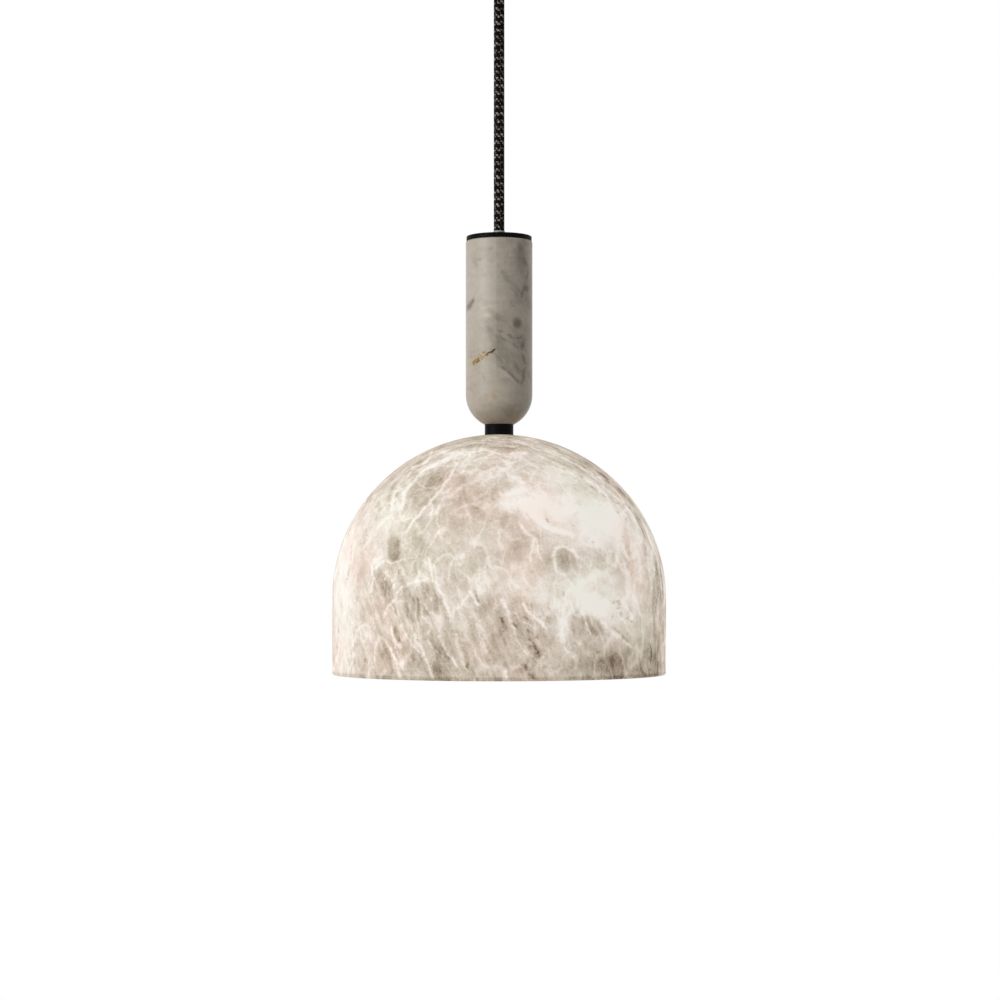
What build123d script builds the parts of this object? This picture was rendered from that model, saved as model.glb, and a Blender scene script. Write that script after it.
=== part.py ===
"""Alabaster bowl pendant: a stone dome under a stone stem, hung on a textile cord from a ceiling canopy.

Millimetres, +Z up. The origin is the ceiling plane on the lamp's axis, so everything hangs below z = 0.
"""
from build123d import *
import math
import os

os.makedirs("parts", exist_ok=True)

# ------------------------------------------------------------------ driving dimensions

# Clearances
running_gap = 0.05        # radial, between a turned piece and the hole that guides it
loose_gap = 0.30          # between pieces that pass each other or move
swing_gap = 0.45          # round the cord's ball in the grip's mouth
seat_recess = 0.45        # how far the dome's crown is faced off under the neck

# Ceiling bracket: a bent steel strip
bracket_width = 20.0
bracket_sheet = 1.5
bracket_ear_drop = 14.0
bracket_ear_gap = 1.5     # between an ear and the canopy's wall
bracket_slot_spacing = 60.0
bracket_slot_length = 14.0
bracket_slot_width = 5.0
tongue_width = 14.0
tongue_overhang = 2.0     # past the terminal block
earth_screw_place = -15.0

# Canopy
canopy_radius = 50.0
canopy_height = 25.0
canopy_wall = 1.2
canopy_edge_round = 3.0
canopy_screw_radius = 2.0
canopy_screw_length = 9.0
canopy_screw_head_radius = 3.5
canopy_screw_head_height = 2.2
canopy_screw_level = -8.0
driver_slot_width = 0.9
driver_slot_depth = 0.8
nut_corner_turning = 0.6  # of the corners' height over the flats

# Cord grip in the canopy
grip_drop = 12.0          # below the canopy
grip_flange_radius = 8.5
grip_flange_height = 3.0
grip_barrel_radius = 6.5
grip_shank_length = 10.0
grip_washer_radius = 9.0
grip_washer_thickness = 1.0
grip_washer_teeth = 12
grip_edge = 0.6
nut_width = 14.0          # across flats, M10
nut_height = 4.0
set_screw_radius = 1.5
set_screw_edge = 0.2

# Cord: a textile braid over a round three-core cable
cord_radius = 3.2
core_radius = 2.4
cord_length = 142.2       # from the grip's mouth to the gland
cord_tail = 3.0           # above the grip's shank, inside the canopy
lead_radius = 1.0
lead_ring_radius = 1.4    # of the three leads about the cable's axis
lead_count = 3
lead_bend = 3.0

# Terminal block
block_pitch = 8.0
block_length = 14.0
block_height = 9.0
block_margin = 2.0
block_reach = 15.0        # from the axis to the block's near face
sleeve_drop = 4.95        # of the sleeves' axes below the bracket
sleeve_radius = 2.0
sleeve_bore = 1.4
block_screw_radius = 1.3
block_screw_head_radius = 2.2
block_screw_head_height = 1.4

# Cord gland, top cap and gasket
gland_height = 3.4        # above the cap
gland_radius = 3.5
gland_flange_radius = 4.8
gland_flange_height = 1.5
cap_radius = 19.6
cap_thickness = 3.0
cap_skin = 1.6            # left above the gland's flange
cap_edge = 0.4
cap_boss_radius = 8.5
cap_boss_length = 12.0
gasket_thickness = 0.5
gasket_margin = 2.0       # from the cap's edge

# Stone stem
stem_radius = 20.0
stem_length = 109.8
stem_bore = 9.0
stem_floor = 14.0         # of stone left under the wide bore
stem_edge = 0.5
tube_clearance = 0.6      # of the stone's holes round the tube
bush_height = 10.0

# Threaded tube, M10 x 1
tube_radius = 5.0
tube_bore = 4.0
relief_height = 12.0
relief_place = 6.0        # below the tube's top
core_tail = 4.0           # of the cable below its clamp

# Neck
neck_radius = 8.6
neck_height = 6.55        # between the two stones, washers included
neck_washer_thickness = 0.6

# Stone dome
dome_radius = 100.0
dome_crown = 98.2
dome_skirt = 45.5
dome_wall = 9.0
dome_crown_wall = 12.0
dome_rim_edge = 0.8
plate_radius = 22.0

# Fixings inside the dome
pad_thickness = 1.0
plate_thickness = 2.5
lock_washer_radius = 8.5
lock_washer_thickness = 1.2
lock_washer_cut_turn = 20.0  # degrees
tube_nut_height = 5.0
nut_to_holder = 1.0

# Lampholder, E27
holder_radius = 19.5
holder_neck_radius = 8.5
holder_neck_height = 5.0
holder_shoulder = 9.0     # height of the curved part
shoulder_reach = 0.72     # of its width and of its height, where the curve bulges most
shoulder_fall = 0.28
holder_cap_wall = 2.6
holder_cavity_rise = 2.5  # of the cap's straight inner wall, above its joint
holder_lip = 3.0          # of the cap, inside the skirt
holder_thread = 9.0       # how far the tube goes in
holder_skirt_length = 39.0
holder_skirt_bore = 15.2
holder_joint_radius = 17.2
insert_height = 10.0
terminal_reach = 9.0
terminal_size = 5.0
terminal_height = 4.0
holder_screw_radius = 1.4
holder_screw_head_radius = 2.0
holder_screw_head_height = 1.2
shell_bore = 13.4
shell_depth = 0.8
shell_wall = 0.4
shell_flange = 0.5
shell_hole = 6.0
shell_length = 24.0
contact_radius = 3.0
contact_height = 1.4
rivet_radius = 1.2

# LED bulb, 45 mm globe on an E27 cap
bulb_radius = 22.5
bulb_length = 78.0
bulb_thread_radius = 13.2
bulb_thread_depth = 1.0
thread_pitch = 3.6
thread_turns = 5
bulb_shell_wall = 0.5
insulator_radius = 9.5
insulator_height = 2.8
tip_radius = 4.0
tip_height = 1.4
bulb_collar_gap = 1.0     # below the holder's skirt
bulb_collar_height = 17.0
bulb_collar_neck = 13.6
bulb_collar_wall = 1.4
globe_wall = 1.2
led_board_radius = 15.0
led_board_rise = 1.5      # above the collar's lower edge
led_board_thickness = 1.2
led_ring_radius = 10.0
led_count = 8
led_size = 2.8
led_height = 0.8
driver_width = 15.0
driver_thickness = 1.2
driver_height = 18.0
driver_gap = 1.5          # above the LED board
driver_pin_spacing = 10.0

# ------------------------------------------------------------------ levels, from the ceiling down

canopy_floor = -canopy_height
canopy_ceiling = canopy_floor + canopy_wall
canopy_inside = canopy_radius - canopy_wall
grip_flange_bottom = canopy_floor - grip_flange_height
cord_exit = canopy_floor - grip_drop
grip_shank_top = canopy_floor + grip_shank_length
cord_top = grip_shank_top + cord_tail
gland_top = cord_exit - cord_length
cap_top = gland_top - gland_height
stem_top = cap_top - cap_thickness
stem_bottom = stem_top - stem_length
dome_seat = stem_bottom - neck_height
dome_apex = dome_seat + seat_recess
dome_equator = dome_apex - dome_crown
dome_rim = dome_equator - dome_skirt
inner_seat = dome_apex - dome_crown_wall
pad_bottom = inner_seat - pad_thickness
plate_bottom = pad_bottom - plate_thickness
lock_washer_bottom = plate_bottom - lock_washer_thickness
tube_nut_bottom = lock_washer_bottom - tube_nut_height
gland_flange_top = cap_top - cap_skin
tube_top = gland_flange_top - gland_flange_height
holder_top = tube_nut_bottom - nut_to_holder
tube_bottom = holder_top - holder_thread
holder_joint = holder_top - holder_neck_height - holder_shoulder
insert_top = holder_joint - holder_lip
insert_bottom = insert_top - insert_height
holder_bottom = holder_joint - holder_skirt_length
relief_top = tube_top - relief_place
core_bottom = relief_top - relief_height - core_tail
contact_bottom = insert_bottom - contact_height
bulb_top = contact_bottom - loose_gap
bulb_bottom = bulb_top - bulb_length
insulator_top = bulb_top - tip_height
bulb_shell_top = insulator_top - insulator_height
collar_top = holder_bottom - bulb_collar_gap
collar_bottom = collar_top - bulb_collar_height
led_board_bottom = collar_bottom + led_board_rise
led_board_top = led_board_bottom + led_board_thickness
globe_centre = bulb_bottom + bulb_radius
globe_mouth = math.sqrt(bulb_radius ** 2 - (collar_bottom - globe_centre) ** 2)

# What follows from the sizes
ball_radius = cord_radius
set_screw_level = (cord_exit + ball_radius + grip_flange_bottom) / 2
holder_screw_level = holder_top - holder_neck_height / 2
neck_flat_radius = neck_radius + loose_gap
stem_round_depth = math.sqrt(stem_radius ** 2 - neck_flat_radius ** 2)
stem_equator = stem_bottom + stem_round_depth
tube_hole = tube_radius + tube_clearance
thread_hole = tube_radius + running_gap
bracket_half = canopy_inside - bracket_ear_gap
lead_angles = [360.0 * turn / lead_count for turn in range(lead_count)]
pole_places = [(pole - (lead_count - 1) / 2) * block_pitch for pole in range(lead_count)]
block_width = lead_count * block_pitch + block_margin
block_middle = block_reach + block_length / 2
block_bottom = -bracket_sheet - block_height
sleeve_level = -bracket_sheet - sleeve_drop


# ------------------------------------------------------------------ helpers

def turned(*outline):
    """A solid turned about Z from a closed outline, drawn as radius and height."""
    edges = [edge for line in outline for edge in line.edges()]
    return revolve(Plane.XZ * make_face(edges), Axis.Z)


def disc(radius, bottom, top):
    """An upright cylinder on the lamp's axis."""
    return Pos(0, 0, (bottom + top) / 2) * Cylinder(radius, top - bottom)


def ring(outer, inner, bottom, top):
    """An upright ring on the lamp's axis."""
    return disc(outer, bottom, top) - disc(inner, bottom, top)


def bar(length, width, bottom, top):
    """A rectangular block centred on the lamp's axis, length along X."""
    return Pos(0, 0, (bottom + top) / 2) * Box(length, width, top - bottom)


def peg(radius, inner_end, outer_end, level):
    """A horizontal cylinder along +X, between two distances from the axis."""
    middle = (inner_end + outer_end) / 2
    return Pos(middle, 0, level) * Rot(0, 90, 0) * Cylinder(radius, outer_end - inner_end)


def hexagon(width, bore, bottom, top):
    """A hexagon nut on the lamp's axis, its corners turned off."""
    blank = Pos(0, 0, bottom) * extrude(RegularPolygon(width / 2, 6, major_radius=False), top - bottom)
    corner = width / math.sqrt(3)
    dressed = chamfer(disc(corner, bottom, top).edges(), (corner - width / 2) * nut_corner_turning)
    return (blank & dressed) - disc(bore, bottom, top)


def wave(radius, depth, top, turns, pitch):
    """The rounded rings of a lamp cap's thread, as one line going down from the top."""
    arcs = []
    rise = pitch / 2
    for half in range(2 * turns):
        high = top - half * rise
        side = depth / 2 if half % 2 == 0 else -depth / 2
        start = (radius, high)
        middle = (radius + side, high - rise / 2)
        end = (radius, high - rise)
        arcs.append(ThreePointArc(start, middle, end))
    return arcs


def lead(points, bends):
    """One insulated conductor along straight runs and round bends."""
    path = FilletPolyline(*points, radius=bends)
    section = Plane(origin=path @ 0, z_dir=path % 0) * Circle(lead_radius)
    return sweep(section, path=path)


def around(shape, count, start=0.0):
    """Copies of a shape, evenly spaced about the axis."""
    return [Rot(0, 0, start + 360.0 * turn / count) * shape for turn in range(count)]


def polar(radius, degrees, level):
    """A point at a distance and an angle from the axis."""
    angle = math.radians(degrees)
    return (radius * math.cos(angle), radius * math.sin(angle), level)


# ------------------------------------------------------------------ ceiling canopy

def ceiling_bracket():
    """A bent strip with two slots for ceiling screws, an ear each end and a tongue for the block."""
    strip = bar(2 * bracket_half, bracket_width, -bracket_ear_drop, 0)
    strip -= bar(2 * (bracket_half - bracket_sheet), bracket_width, -bracket_ear_drop, -bracket_sheet)
    strip = fillet(strip.edges().filter_by(Axis.Y).group_by(Axis.Z)[-1], bracket_sheet)
    tongue_end = block_reach + block_length + tongue_overhang
    strip += Pos(0, tongue_end / 2, -bracket_sheet / 2) * Box(tongue_width, tongue_end, bracket_sheet)
    for side in (-1, 1):
        slot = extrude(SlotOverall(bracket_slot_length, bracket_slot_width), -bracket_sheet)
        strip -= Pos(side * bracket_slot_spacing / 2, 0, 0) * slot
    strip -= peg(canopy_screw_radius + running_gap, -bracket_half, bracket_half, canopy_screw_level)
    strip -= Pos(earth_screw_place, 0, 0) * disc(canopy_screw_radius + running_gap, -bracket_sheet, 0)
    return strip - Pos(0, block_middle, 0) * disc(block_screw_radius + running_gap, -bracket_sheet, 0)


def canopy_cup():
    """A spun steel cup, open at the ceiling, with a hole for the cord grip and two for its screws."""
    cup = disc(canopy_radius, canopy_floor, 0)
    cup = fillet(cup.edges().group_by(Axis.Z)[0], canopy_edge_round)
    hollow = disc(canopy_inside, canopy_ceiling, 0)
    hollow = fillet(hollow.edges().group_by(Axis.Z)[0], canopy_edge_round - canopy_wall)
    cup -= hollow
    cup -= disc(thread_hole + loose_gap, canopy_floor, canopy_ceiling)
    hole = canopy_screw_radius + loose_gap
    return cup - peg(hole, -canopy_radius, canopy_radius, canopy_screw_level)


def slotted_head(radius, height):
    """A round screw head lying on z = 0 with a driver slot in its far face."""
    head = fillet(disc(radius, 0, height).edges().group_by(Axis.Z)[-1], height / 3)
    return head - bar(3 * radius, driver_slot_width, height - driver_slot_depth, height)


def canopy_screws():
    """The two side screws that hold the cup on the bracket's ears."""
    head = Pos(canopy_radius, 0, canopy_screw_level) * Rot(0, 90, 0) * slotted_head(
        canopy_screw_head_radius, canopy_screw_head_height)
    shank = peg(canopy_screw_radius, canopy_radius - canopy_screw_length, canopy_radius, canopy_screw_level)
    return Compound(children=around(head + shank, 2))


def earth_screw():
    """The bracket's earth screw, head down, flush with the ceiling side."""
    head = Pos(0, 0, -bracket_sheet) * Rot(180, 0, 0) * slotted_head(
        canopy_screw_head_radius, canopy_screw_head_height)
    return Pos(earth_screw_place, 0, 0) * (head + disc(canopy_screw_radius, -bracket_sheet, 0))


def cord_grip_body():
    """The cord grip: a threaded shank through the canopy, a flange, and a barrel with a rounded mouth."""
    barrel = disc(grip_barrel_radius, cord_exit, grip_flange_bottom)
    barrel = chamfer(barrel.edges().group_by(Axis.Z)[0], grip_edge)
    flange = disc(grip_flange_radius, grip_flange_bottom, canopy_floor)
    flange = fillet(flange.edges().group_by(Axis.Z)[0], grip_edge)
    grip = barrel + flange + disc(tube_radius, canopy_floor, grip_shank_top)
    grip -= disc(cord_radius + running_gap, cord_exit, grip_shank_top)
    grip -= Pos(0, 0, cord_exit) * Sphere(ball_radius + swing_gap)
    return grip - peg(set_screw_radius + running_gap, 0, grip_barrel_radius, set_screw_level)


def cord_grip_washer():
    """The toothed washer under the grip's nut."""
    washer = ring(grip_washer_radius, thread_hole, canopy_ceiling, canopy_ceiling + grip_washer_thickness)
    tooth = Pos(grip_washer_radius, 0, canopy_ceiling + grip_washer_thickness / 2) * Box(
        grip_washer_thickness, grip_washer_thickness, grip_washer_thickness)
    for notch in around(tooth, grip_washer_teeth):
        washer -= notch
    return washer


def cord_grip_nut():
    """The hexagon nut that clamps the grip to the canopy."""
    bottom = canopy_ceiling + grip_washer_thickness
    return hexagon(nut_width, thread_hole, bottom, bottom + nut_height)


def cord_grip_set_screw():
    """The small headless screw that clamps the cord in the grip."""
    screw = peg(set_screw_radius, cord_radius + running_gap, grip_barrel_radius, set_screw_level)
    return screw - peg(set_screw_radius / 2, grip_barrel_radius - driver_slot_depth, grip_barrel_radius,
                       set_screw_level)


def cord_held_end():
    """The stretch of cord inside the grip, up to where its sheath is stripped in the canopy."""
    return disc(cord_radius, cord_exit + ball_radius + loose_gap, cord_top)


def terminal_block():
    """The three-pole screw terminal block under the bracket's tongue."""
    body = Pos(0, block_middle, 0) * bar(block_width, block_length, block_bottom, -bracket_sheet)
    body = chamfer(body.edges().filter_by(Axis.Z), block_margin / 2)
    for place in pole_places:
        bore = Pos(place, block_middle, sleeve_level) * Rot(90, 0, 0) * Cylinder(
            sleeve_radius + running_gap, block_length)
        body -= bore
        for end in terminal_screw_places():
            body -= Pos(place, end, 0) * disc(block_screw_head_radius + running_gap, block_bottom, sleeve_level)
    mouth = block_screw_radius + loose_gap
    return body - Pos(0, block_middle, 0) * disc(mouth, sleeve_level + sleeve_radius, -bracket_sheet)


def terminal_screw_places():
    """The distances of the two screw rows from the lamp's axis."""
    return [block_middle - block_length / 4, block_middle + block_length / 4]


def terminal_sleeves():
    """The three brass sleeves that join the conductors."""
    sleeve = Cylinder(sleeve_radius, block_length) - Cylinder(sleeve_bore, block_length)
    placed = []
    for place in pole_places:
        barrel = Pos(place, block_middle, sleeve_level) * Rot(90, 0, 0) * sleeve
        for end in terminal_screw_places():
            barrel -= Pos(place, end, 0) * disc(block_screw_radius + running_gap, block_bottom, sleeve_level)
        placed.append(barrel)
    return Compound(children=placed)


def terminal_screws():
    """Two clamping screws for each pole, heads down."""
    head_top = sleeve_level - sleeve_radius - running_gap
    head = slotted_head(block_screw_head_radius, block_screw_head_height)
    screw = Pos(0, 0, head_top) * Rot(180, 0, 0) * head
    screw += disc(block_screw_radius, head_top, sleeve_level - lead_radius - running_gap)
    placed = [Pos(place, end, 0) * screw for place in pole_places for end in terminal_screw_places()]
    return Compound(children=placed)


def terminal_block_pin():
    """The rivet that holds the terminal block to the bracket's tongue."""
    shank = disc(block_screw_radius, sleeve_level + sleeve_radius + running_gap, 0)
    return Pos(0, block_middle, 0) * shank


def canopy_lead(pole):
    """One conductor from the cord's end to its pole of the terminal block."""
    start = polar(lead_ring_radius, lead_angles[pole] + 90, cord_top)
    corner = (start[0], start[1], sleeve_level)
    order = sorted(range(lead_count), key=lambda turn: polar(1, lead_angles[turn] + 90, 0)[0])
    place = pole_places[order.index(pole)]
    face = (place, block_reach - lead_bend, sleeve_level)
    end = (place, block_reach + block_length / 4 + block_screw_radius, sleeve_level)
    if abs(place - start[0]) < running_gap:
        return lead([start, corner, end], lead_bend)
    return lead([start, corner, face, end], lead_bend)


# ------------------------------------------------------------------ cord

def cord_bend():
    """The short stretch of cord that bends as it leaves the grip, as a ball about the bend."""
    return Pos(0, 0, cord_exit) * Sphere(ball_radius)


def suspension_cord():
    """The straight hanging stretch of cord, down to the gland's face."""
    return disc(cord_radius, gland_top, cord_exit - ball_radius - loose_gap)


# ------------------------------------------------------------------ stem

def cord_gland():
    """The pale bush that the cord meets: a collar through the cap and a flange under its skin."""
    collar = disc(gland_radius, gland_flange_top, gland_top)
    collar = fillet(collar.edges().group_by(Axis.Z)[-1], set_screw_edge)
    flange = disc(gland_flange_radius, tube_top, gland_flange_top)
    return collar + flange - disc(core_radius + running_gap, tube_top, gland_top)


def top_cap():
    """The black cap: a thin disc with a threaded boss that goes down into the stone's bore."""
    cap = disc(cap_radius, stem_top, cap_top)
    cap = fillet(cap.edges(), cap_edge)
    cap -= disc(cap_radius - gasket_margin, stem_top, stem_top + gasket_thickness)
    cap += disc(cap_boss_radius, stem_top - cap_boss_length, cap_top - cap_skin)
    cap -= disc(gland_radius + running_gap, gland_flange_top, cap_top)
    return cap - disc(thread_hole, stem_top - cap_boss_length, gland_flange_top)


def cap_gasket():
    """The thin gasket in the cap's recess, on the stone's end."""
    return ring(cap_radius - gasket_margin - running_gap, stem_bore, stem_top, stem_top + gasket_thickness)


def stem_stone():
    """The stone sleeve: a straight cylinder with a round lower end, drilled wide from above."""
    equator = (stem_radius, stem_equator)
    flat_angle = math.atan2(stem_bottom - stem_equator, neck_flat_radius)
    halfway = flat_angle / 2
    bulge = (stem_radius * math.cos(halfway), stem_equator + stem_radius * math.sin(halfway))
    upper = Polyline((neck_flat_radius, stem_bottom), (0, stem_bottom), (0, stem_top),
                     (stem_radius - stem_edge, stem_top), (stem_radius, stem_top - stem_edge), equator)
    round_end = ThreePointArc(equator, bulge, (neck_flat_radius, stem_bottom))
    stone = turned(upper, round_end)
    stone -= disc(stem_bore, stem_bottom + stem_floor, stem_top)
    return stone - disc(tube_hole, stem_bottom, stem_bottom + stem_floor)


def centring_bush():
    """The nylon bush that centres the tube in the stone's wide bore."""
    floor = stem_bottom + stem_floor
    return ring(stem_bore - running_gap, thread_hole, floor, floor + bush_height)


def threaded_tube():
    """The hollow M10 rod that ties cap, stem, neck, dome and lampholder together."""
    return ring(tube_radius, tube_bore, tube_bottom, tube_top)


def cable_core():
    """The round cable inside the braid, through the gland and its clamp."""
    return disc(core_radius, core_bottom, gland_top)


def cable_clamp():
    """The nylon collet that grips the cable inside the tube."""
    return ring(tube_bore - running_gap, core_radius + running_gap, relief_top - relief_height, relief_top)


def stem_lead(pole):
    """One conductor from the cable's end, down the tube, to its terminal on the insert."""
    level = insert_top + terminal_height / 2
    angle = lead_angles[pole]
    start = polar(lead_ring_radius, angle, core_bottom)
    corner = polar(lead_ring_radius, angle, level)
    end = polar(terminal_reach - terminal_size / 2, angle, level)
    return lead([start, corner, end], lead_bend)


def neck_collar():
    """The black turned spacer between the two stones."""
    bottom = dome_seat + neck_washer_thickness
    top = stem_bottom - neck_washer_thickness
    return ring(neck_radius, thread_hole, bottom, top)


def neck_washer(bottom):
    """A thin black washer at one end of the neck."""
    return ring(neck_radius, tube_hole, bottom, bottom + neck_washer_thickness)


# ------------------------------------------------------------------ dome

def crown_arc(radius, height, hole_radius):
    """The crown's elliptic section, from the top of the skirt to a hole about the axis: a curve of three control
    points, whose middle weight makes it exactly elliptic."""
    turn = math.acos(hole_radius / radius)
    skirt_top = (radius, dome_equator)
    shoulder = (radius, dome_equator + height * math.tan(turn / 2))
    hole_edge = (hole_radius, dome_equator + height * math.sin(turn))
    return Bezier(skirt_top, shoulder, hole_edge, weights=[1, math.cos(turn / 2), 1])


def dome_shade():
    """The stone dome: a straight skirt under a slightly flattened crown, drilled and faced at the top."""
    inner_radius = dome_radius - dome_wall
    inner_crown = dome_crown - dome_crown_wall
    plate_recess = plate_radius + loose_gap
    outside = crown_arc(dome_radius, dome_crown, neck_flat_radius)
    inside = crown_arc(inner_radius, inner_crown, plate_recess)
    seats = Polyline(outside @ 1, (neck_flat_radius, dome_seat), (tube_hole, dome_seat), (tube_hole, inner_seat),
                     (plate_recess, inner_seat), inside @ 1)
    rim = Polyline((dome_radius, dome_equator), (dome_radius, dome_rim + dome_rim_edge),
                   (dome_radius - dome_rim_edge, dome_rim), (inner_radius + dome_rim_edge, dome_rim),
                   (inner_radius, dome_rim + dome_rim_edge), (inner_radius, dome_equator))
    return turned(outside, seats, inside, rim)


def dome_pad():
    """The rubber pad between the dome's inner seat and the carrying plate."""
    return ring(plate_radius, tube_hole, pad_bottom, inner_seat)


def dome_plate():
    """The steel plate that carries the dome."""
    plate = ring(plate_radius, tube_hole, plate_bottom, pad_bottom)
    return chamfer(plate.edges().group_by(Axis.Z)[0].sort_by(SortBy.RADIUS)[-1], plate_thickness / 4)


def lock_washer():
    """The split spring washer above the tube's nut."""
    washer = ring(lock_washer_radius, thread_hole, lock_washer_bottom, plate_bottom)
    middle = (lock_washer_bottom + plate_bottom) / 2
    blade = Box(lock_washer_radius, lock_washer_thickness, 2 * lock_washer_thickness)
    return washer - Pos(lock_washer_radius, 0, middle) * Rot(0, 0, lock_washer_cut_turn) * blade


def tube_nut():
    """The nut that clamps the whole stack on the tube."""
    return hexagon(nut_width, thread_hole, tube_nut_bottom, lock_washer_bottom)


# ------------------------------------------------------------------ lampholder

def holder_cap():
    """The lampholder's domed cap, threaded on the tube, with a lip that clamps the insert."""
    neck_bottom = holder_top - holder_neck_height
    lip_radius = holder_joint_radius - running_gap
    inner_radius = holder_joint_radius - holder_cap_wall
    bulge_radius = holder_neck_radius + (holder_radius - holder_neck_radius) * shoulder_reach
    bulge = (bulge_radius, neck_bottom - holder_shoulder * shoulder_fall)
    shoulder = ThreePointArc((holder_neck_radius, neck_bottom), bulge, (holder_radius, holder_joint))
    outside = Polyline((0, neck_bottom), (0, holder_top), (holder_neck_radius, holder_top),
                       (holder_neck_radius, neck_bottom))
    lip = Polyline((holder_radius, holder_joint), (lip_radius, holder_joint), (lip_radius, insert_top),
                   (inner_radius, insert_top), (inner_radius, holder_joint + holder_cavity_rise),
                   (tube_radius, tube_bottom), (0, tube_bottom), (0, neck_bottom))
    cap = turned(outside, shoulder, lip)
    cap -= disc(thread_hole, tube_bottom, holder_top)
    return cap - peg(set_screw_radius + running_gap, 0, holder_neck_radius, holder_screw_level)


def holder_set_screw():
    """The headless screw that locks the lampholder on the tube."""
    screw = peg(set_screw_radius, tube_radius + running_gap, holder_neck_radius, holder_screw_level)
    return screw - peg(set_screw_radius / 2, holder_neck_radius - driver_slot_depth, holder_neck_radius,
                       holder_screw_level)


def holder_skirt():
    """The lampholder's skirt, with a ledge that the insert rests on."""
    skirt = disc(holder_radius, holder_bottom, holder_joint)
    skirt = fillet(skirt.edges().group_by(Axis.Z)[0], grip_edge)
    skirt -= disc(holder_skirt_bore, holder_bottom, insert_bottom)
    return skirt - disc(holder_joint_radius, insert_bottom, holder_joint)


def holder_insert():
    """The ceramic insert that carries the terminals and the contacts."""
    insert = disc(holder_joint_radius - loose_gap, insert_bottom, insert_top)
    return insert - disc(rivet_radius + running_gap, insert_bottom, insert_top)


def holder_terminals():
    """Three brass terminals on the insert, one for each conductor."""
    middle = insert_top + terminal_height / 2
    terminal = Pos(terminal_reach, 0, middle) * Box(terminal_size, terminal_size, terminal_height)
    terminal -= Pos(terminal_reach, 0, 0) * disc(holder_screw_radius + running_gap, middle,
                                                 insert_top + terminal_height)
    return Compound(children=around(terminal, lead_count))


def holder_terminal_screws():
    """The screws of the three terminals, seen from above."""
    top = insert_top + terminal_height
    screw = Pos(0, 0, top) * slotted_head(holder_screw_head_radius, holder_screw_head_height)
    screw += disc(holder_screw_radius, top - terminal_height / 2, top)
    return Compound(children=around(Pos(terminal_reach, 0, 0) * screw, lead_count))


def holder_contact():
    """The centre contact, riveted through the insert."""
    foot = disc(contact_radius, contact_bottom, insert_bottom)
    foot = fillet(foot.edges().group_by(Axis.Z)[0], contact_height / 3)
    return foot + disc(rivet_radius, insert_bottom, insert_top)


def holder_shell():
    """The brass screw shell under the insert, ringed like the cap's thread."""
    outer = shell_bore + shell_depth + shell_wall
    first = insert_bottom - thread_pitch
    last = first - thread_turns * thread_pitch
    middle = shell_bore + shell_depth / 2
    rings = wave(middle, shell_depth, first, thread_turns, thread_pitch)
    flange_bottom = insert_bottom - shell_flange
    shell_bottom = insert_bottom - shell_length
    rest = Polyline((middle, first), (middle, flange_bottom), (shell_hole, flange_bottom),
                    (shell_hole, insert_bottom), (outer, insert_bottom), (outer, shell_bottom),
                    (middle, shell_bottom), (middle, last))
    return turned(rest, *rings)


# ------------------------------------------------------------------ bulb

def bulb_screw_cap():
    """The bulb's metal cap with its rounded thread."""
    middle = bulb_thread_radius - bulb_thread_depth / 2
    first = bulb_shell_top - thread_pitch / 2
    last = first - thread_turns * thread_pitch
    inner = middle - bulb_thread_depth / 2 - bulb_shell_wall
    rings = wave(middle, bulb_thread_depth, first, thread_turns, thread_pitch)
    mouth = insulator_radius - bulb_shell_wall
    ceiling = bulb_shell_top - bulb_shell_wall
    rest = Polyline((middle, last), (middle, collar_top), (inner, collar_top), (inner, ceiling),
                    (mouth, ceiling), (mouth, bulb_shell_top), (middle - bulb_shell_wall, bulb_shell_top),
                    (middle, first))
    return turned(rest, *rings)


def bulb_insulator():
    """The dark glass cone between the cap and its tip."""
    return turned(Polyline((0, bulb_shell_top), (insulator_radius, bulb_shell_top),
                           (tip_radius, insulator_top), (0, insulator_top), (0, bulb_shell_top)))


def bulb_tip():
    """The solder-domed tip contact."""
    tip = disc(tip_radius, insulator_top, bulb_top)
    return fillet(tip.edges().group_by(Axis.Z)[-1], tip_height / 2)


def bulb_collar():
    """The white collar that carries the LED board, between the cap and the globe."""
    shoulder = collar_top - grip_edge
    foot = (globe_mouth, collar_bottom)
    waist = ((bulb_collar_neck + globe_mouth) / 2 - grip_edge, (shoulder + collar_bottom) / 2)
    outside = ThreePointArc((bulb_collar_neck, shoulder), waist, foot)
    inner_neck = bulb_collar_neck - 2 * bulb_collar_wall
    seat = led_board_radius + running_gap
    inside = Polyline(foot, (globe_mouth - bulb_collar_wall, collar_bottom), (seat, led_board_bottom),
                      (seat, led_board_top), (inner_neck, led_board_top), (inner_neck, collar_top),
                      (bulb_collar_neck - grip_edge, collar_top), (bulb_collar_neck, shoulder))
    return turned(outside, inside)


def bulb_globe():
    """The opal globe, open at the top where it sits on the collar."""
    globe = Pos(0, 0, globe_centre) * (Sphere(bulb_radius) - Sphere(bulb_radius - globe_wall))
    return globe - disc(bulb_radius, collar_bottom, globe_centre + 2 * bulb_radius)


def led_board():
    """The round board that carries the LEDs."""
    return disc(led_board_radius, led_board_bottom, led_board_top)


def led_chips():
    """The ring of LEDs under the board."""
    chip = Pos(led_ring_radius, 0, led_board_bottom - led_height / 2) * Box(led_size, led_size, led_height)
    return Compound(children=around(chip, led_count))


def driver_board():
    """The upright driver board inside the collar and cap."""
    bottom = led_board_top + driver_gap
    return bar(driver_width, driver_thickness, bottom, bottom + driver_height)


def driver_pins():
    """The two pins that stand the driver board on the LED board."""
    middle = led_board_top + driver_gap / 2
    pin = Pos(driver_pin_spacing / 2, 0, middle) * Box(driver_thickness, driver_thickness, driver_gap)
    return Compound(children=around(pin, 2))


# ------------------------------------------------------------------ the nodes

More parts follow.
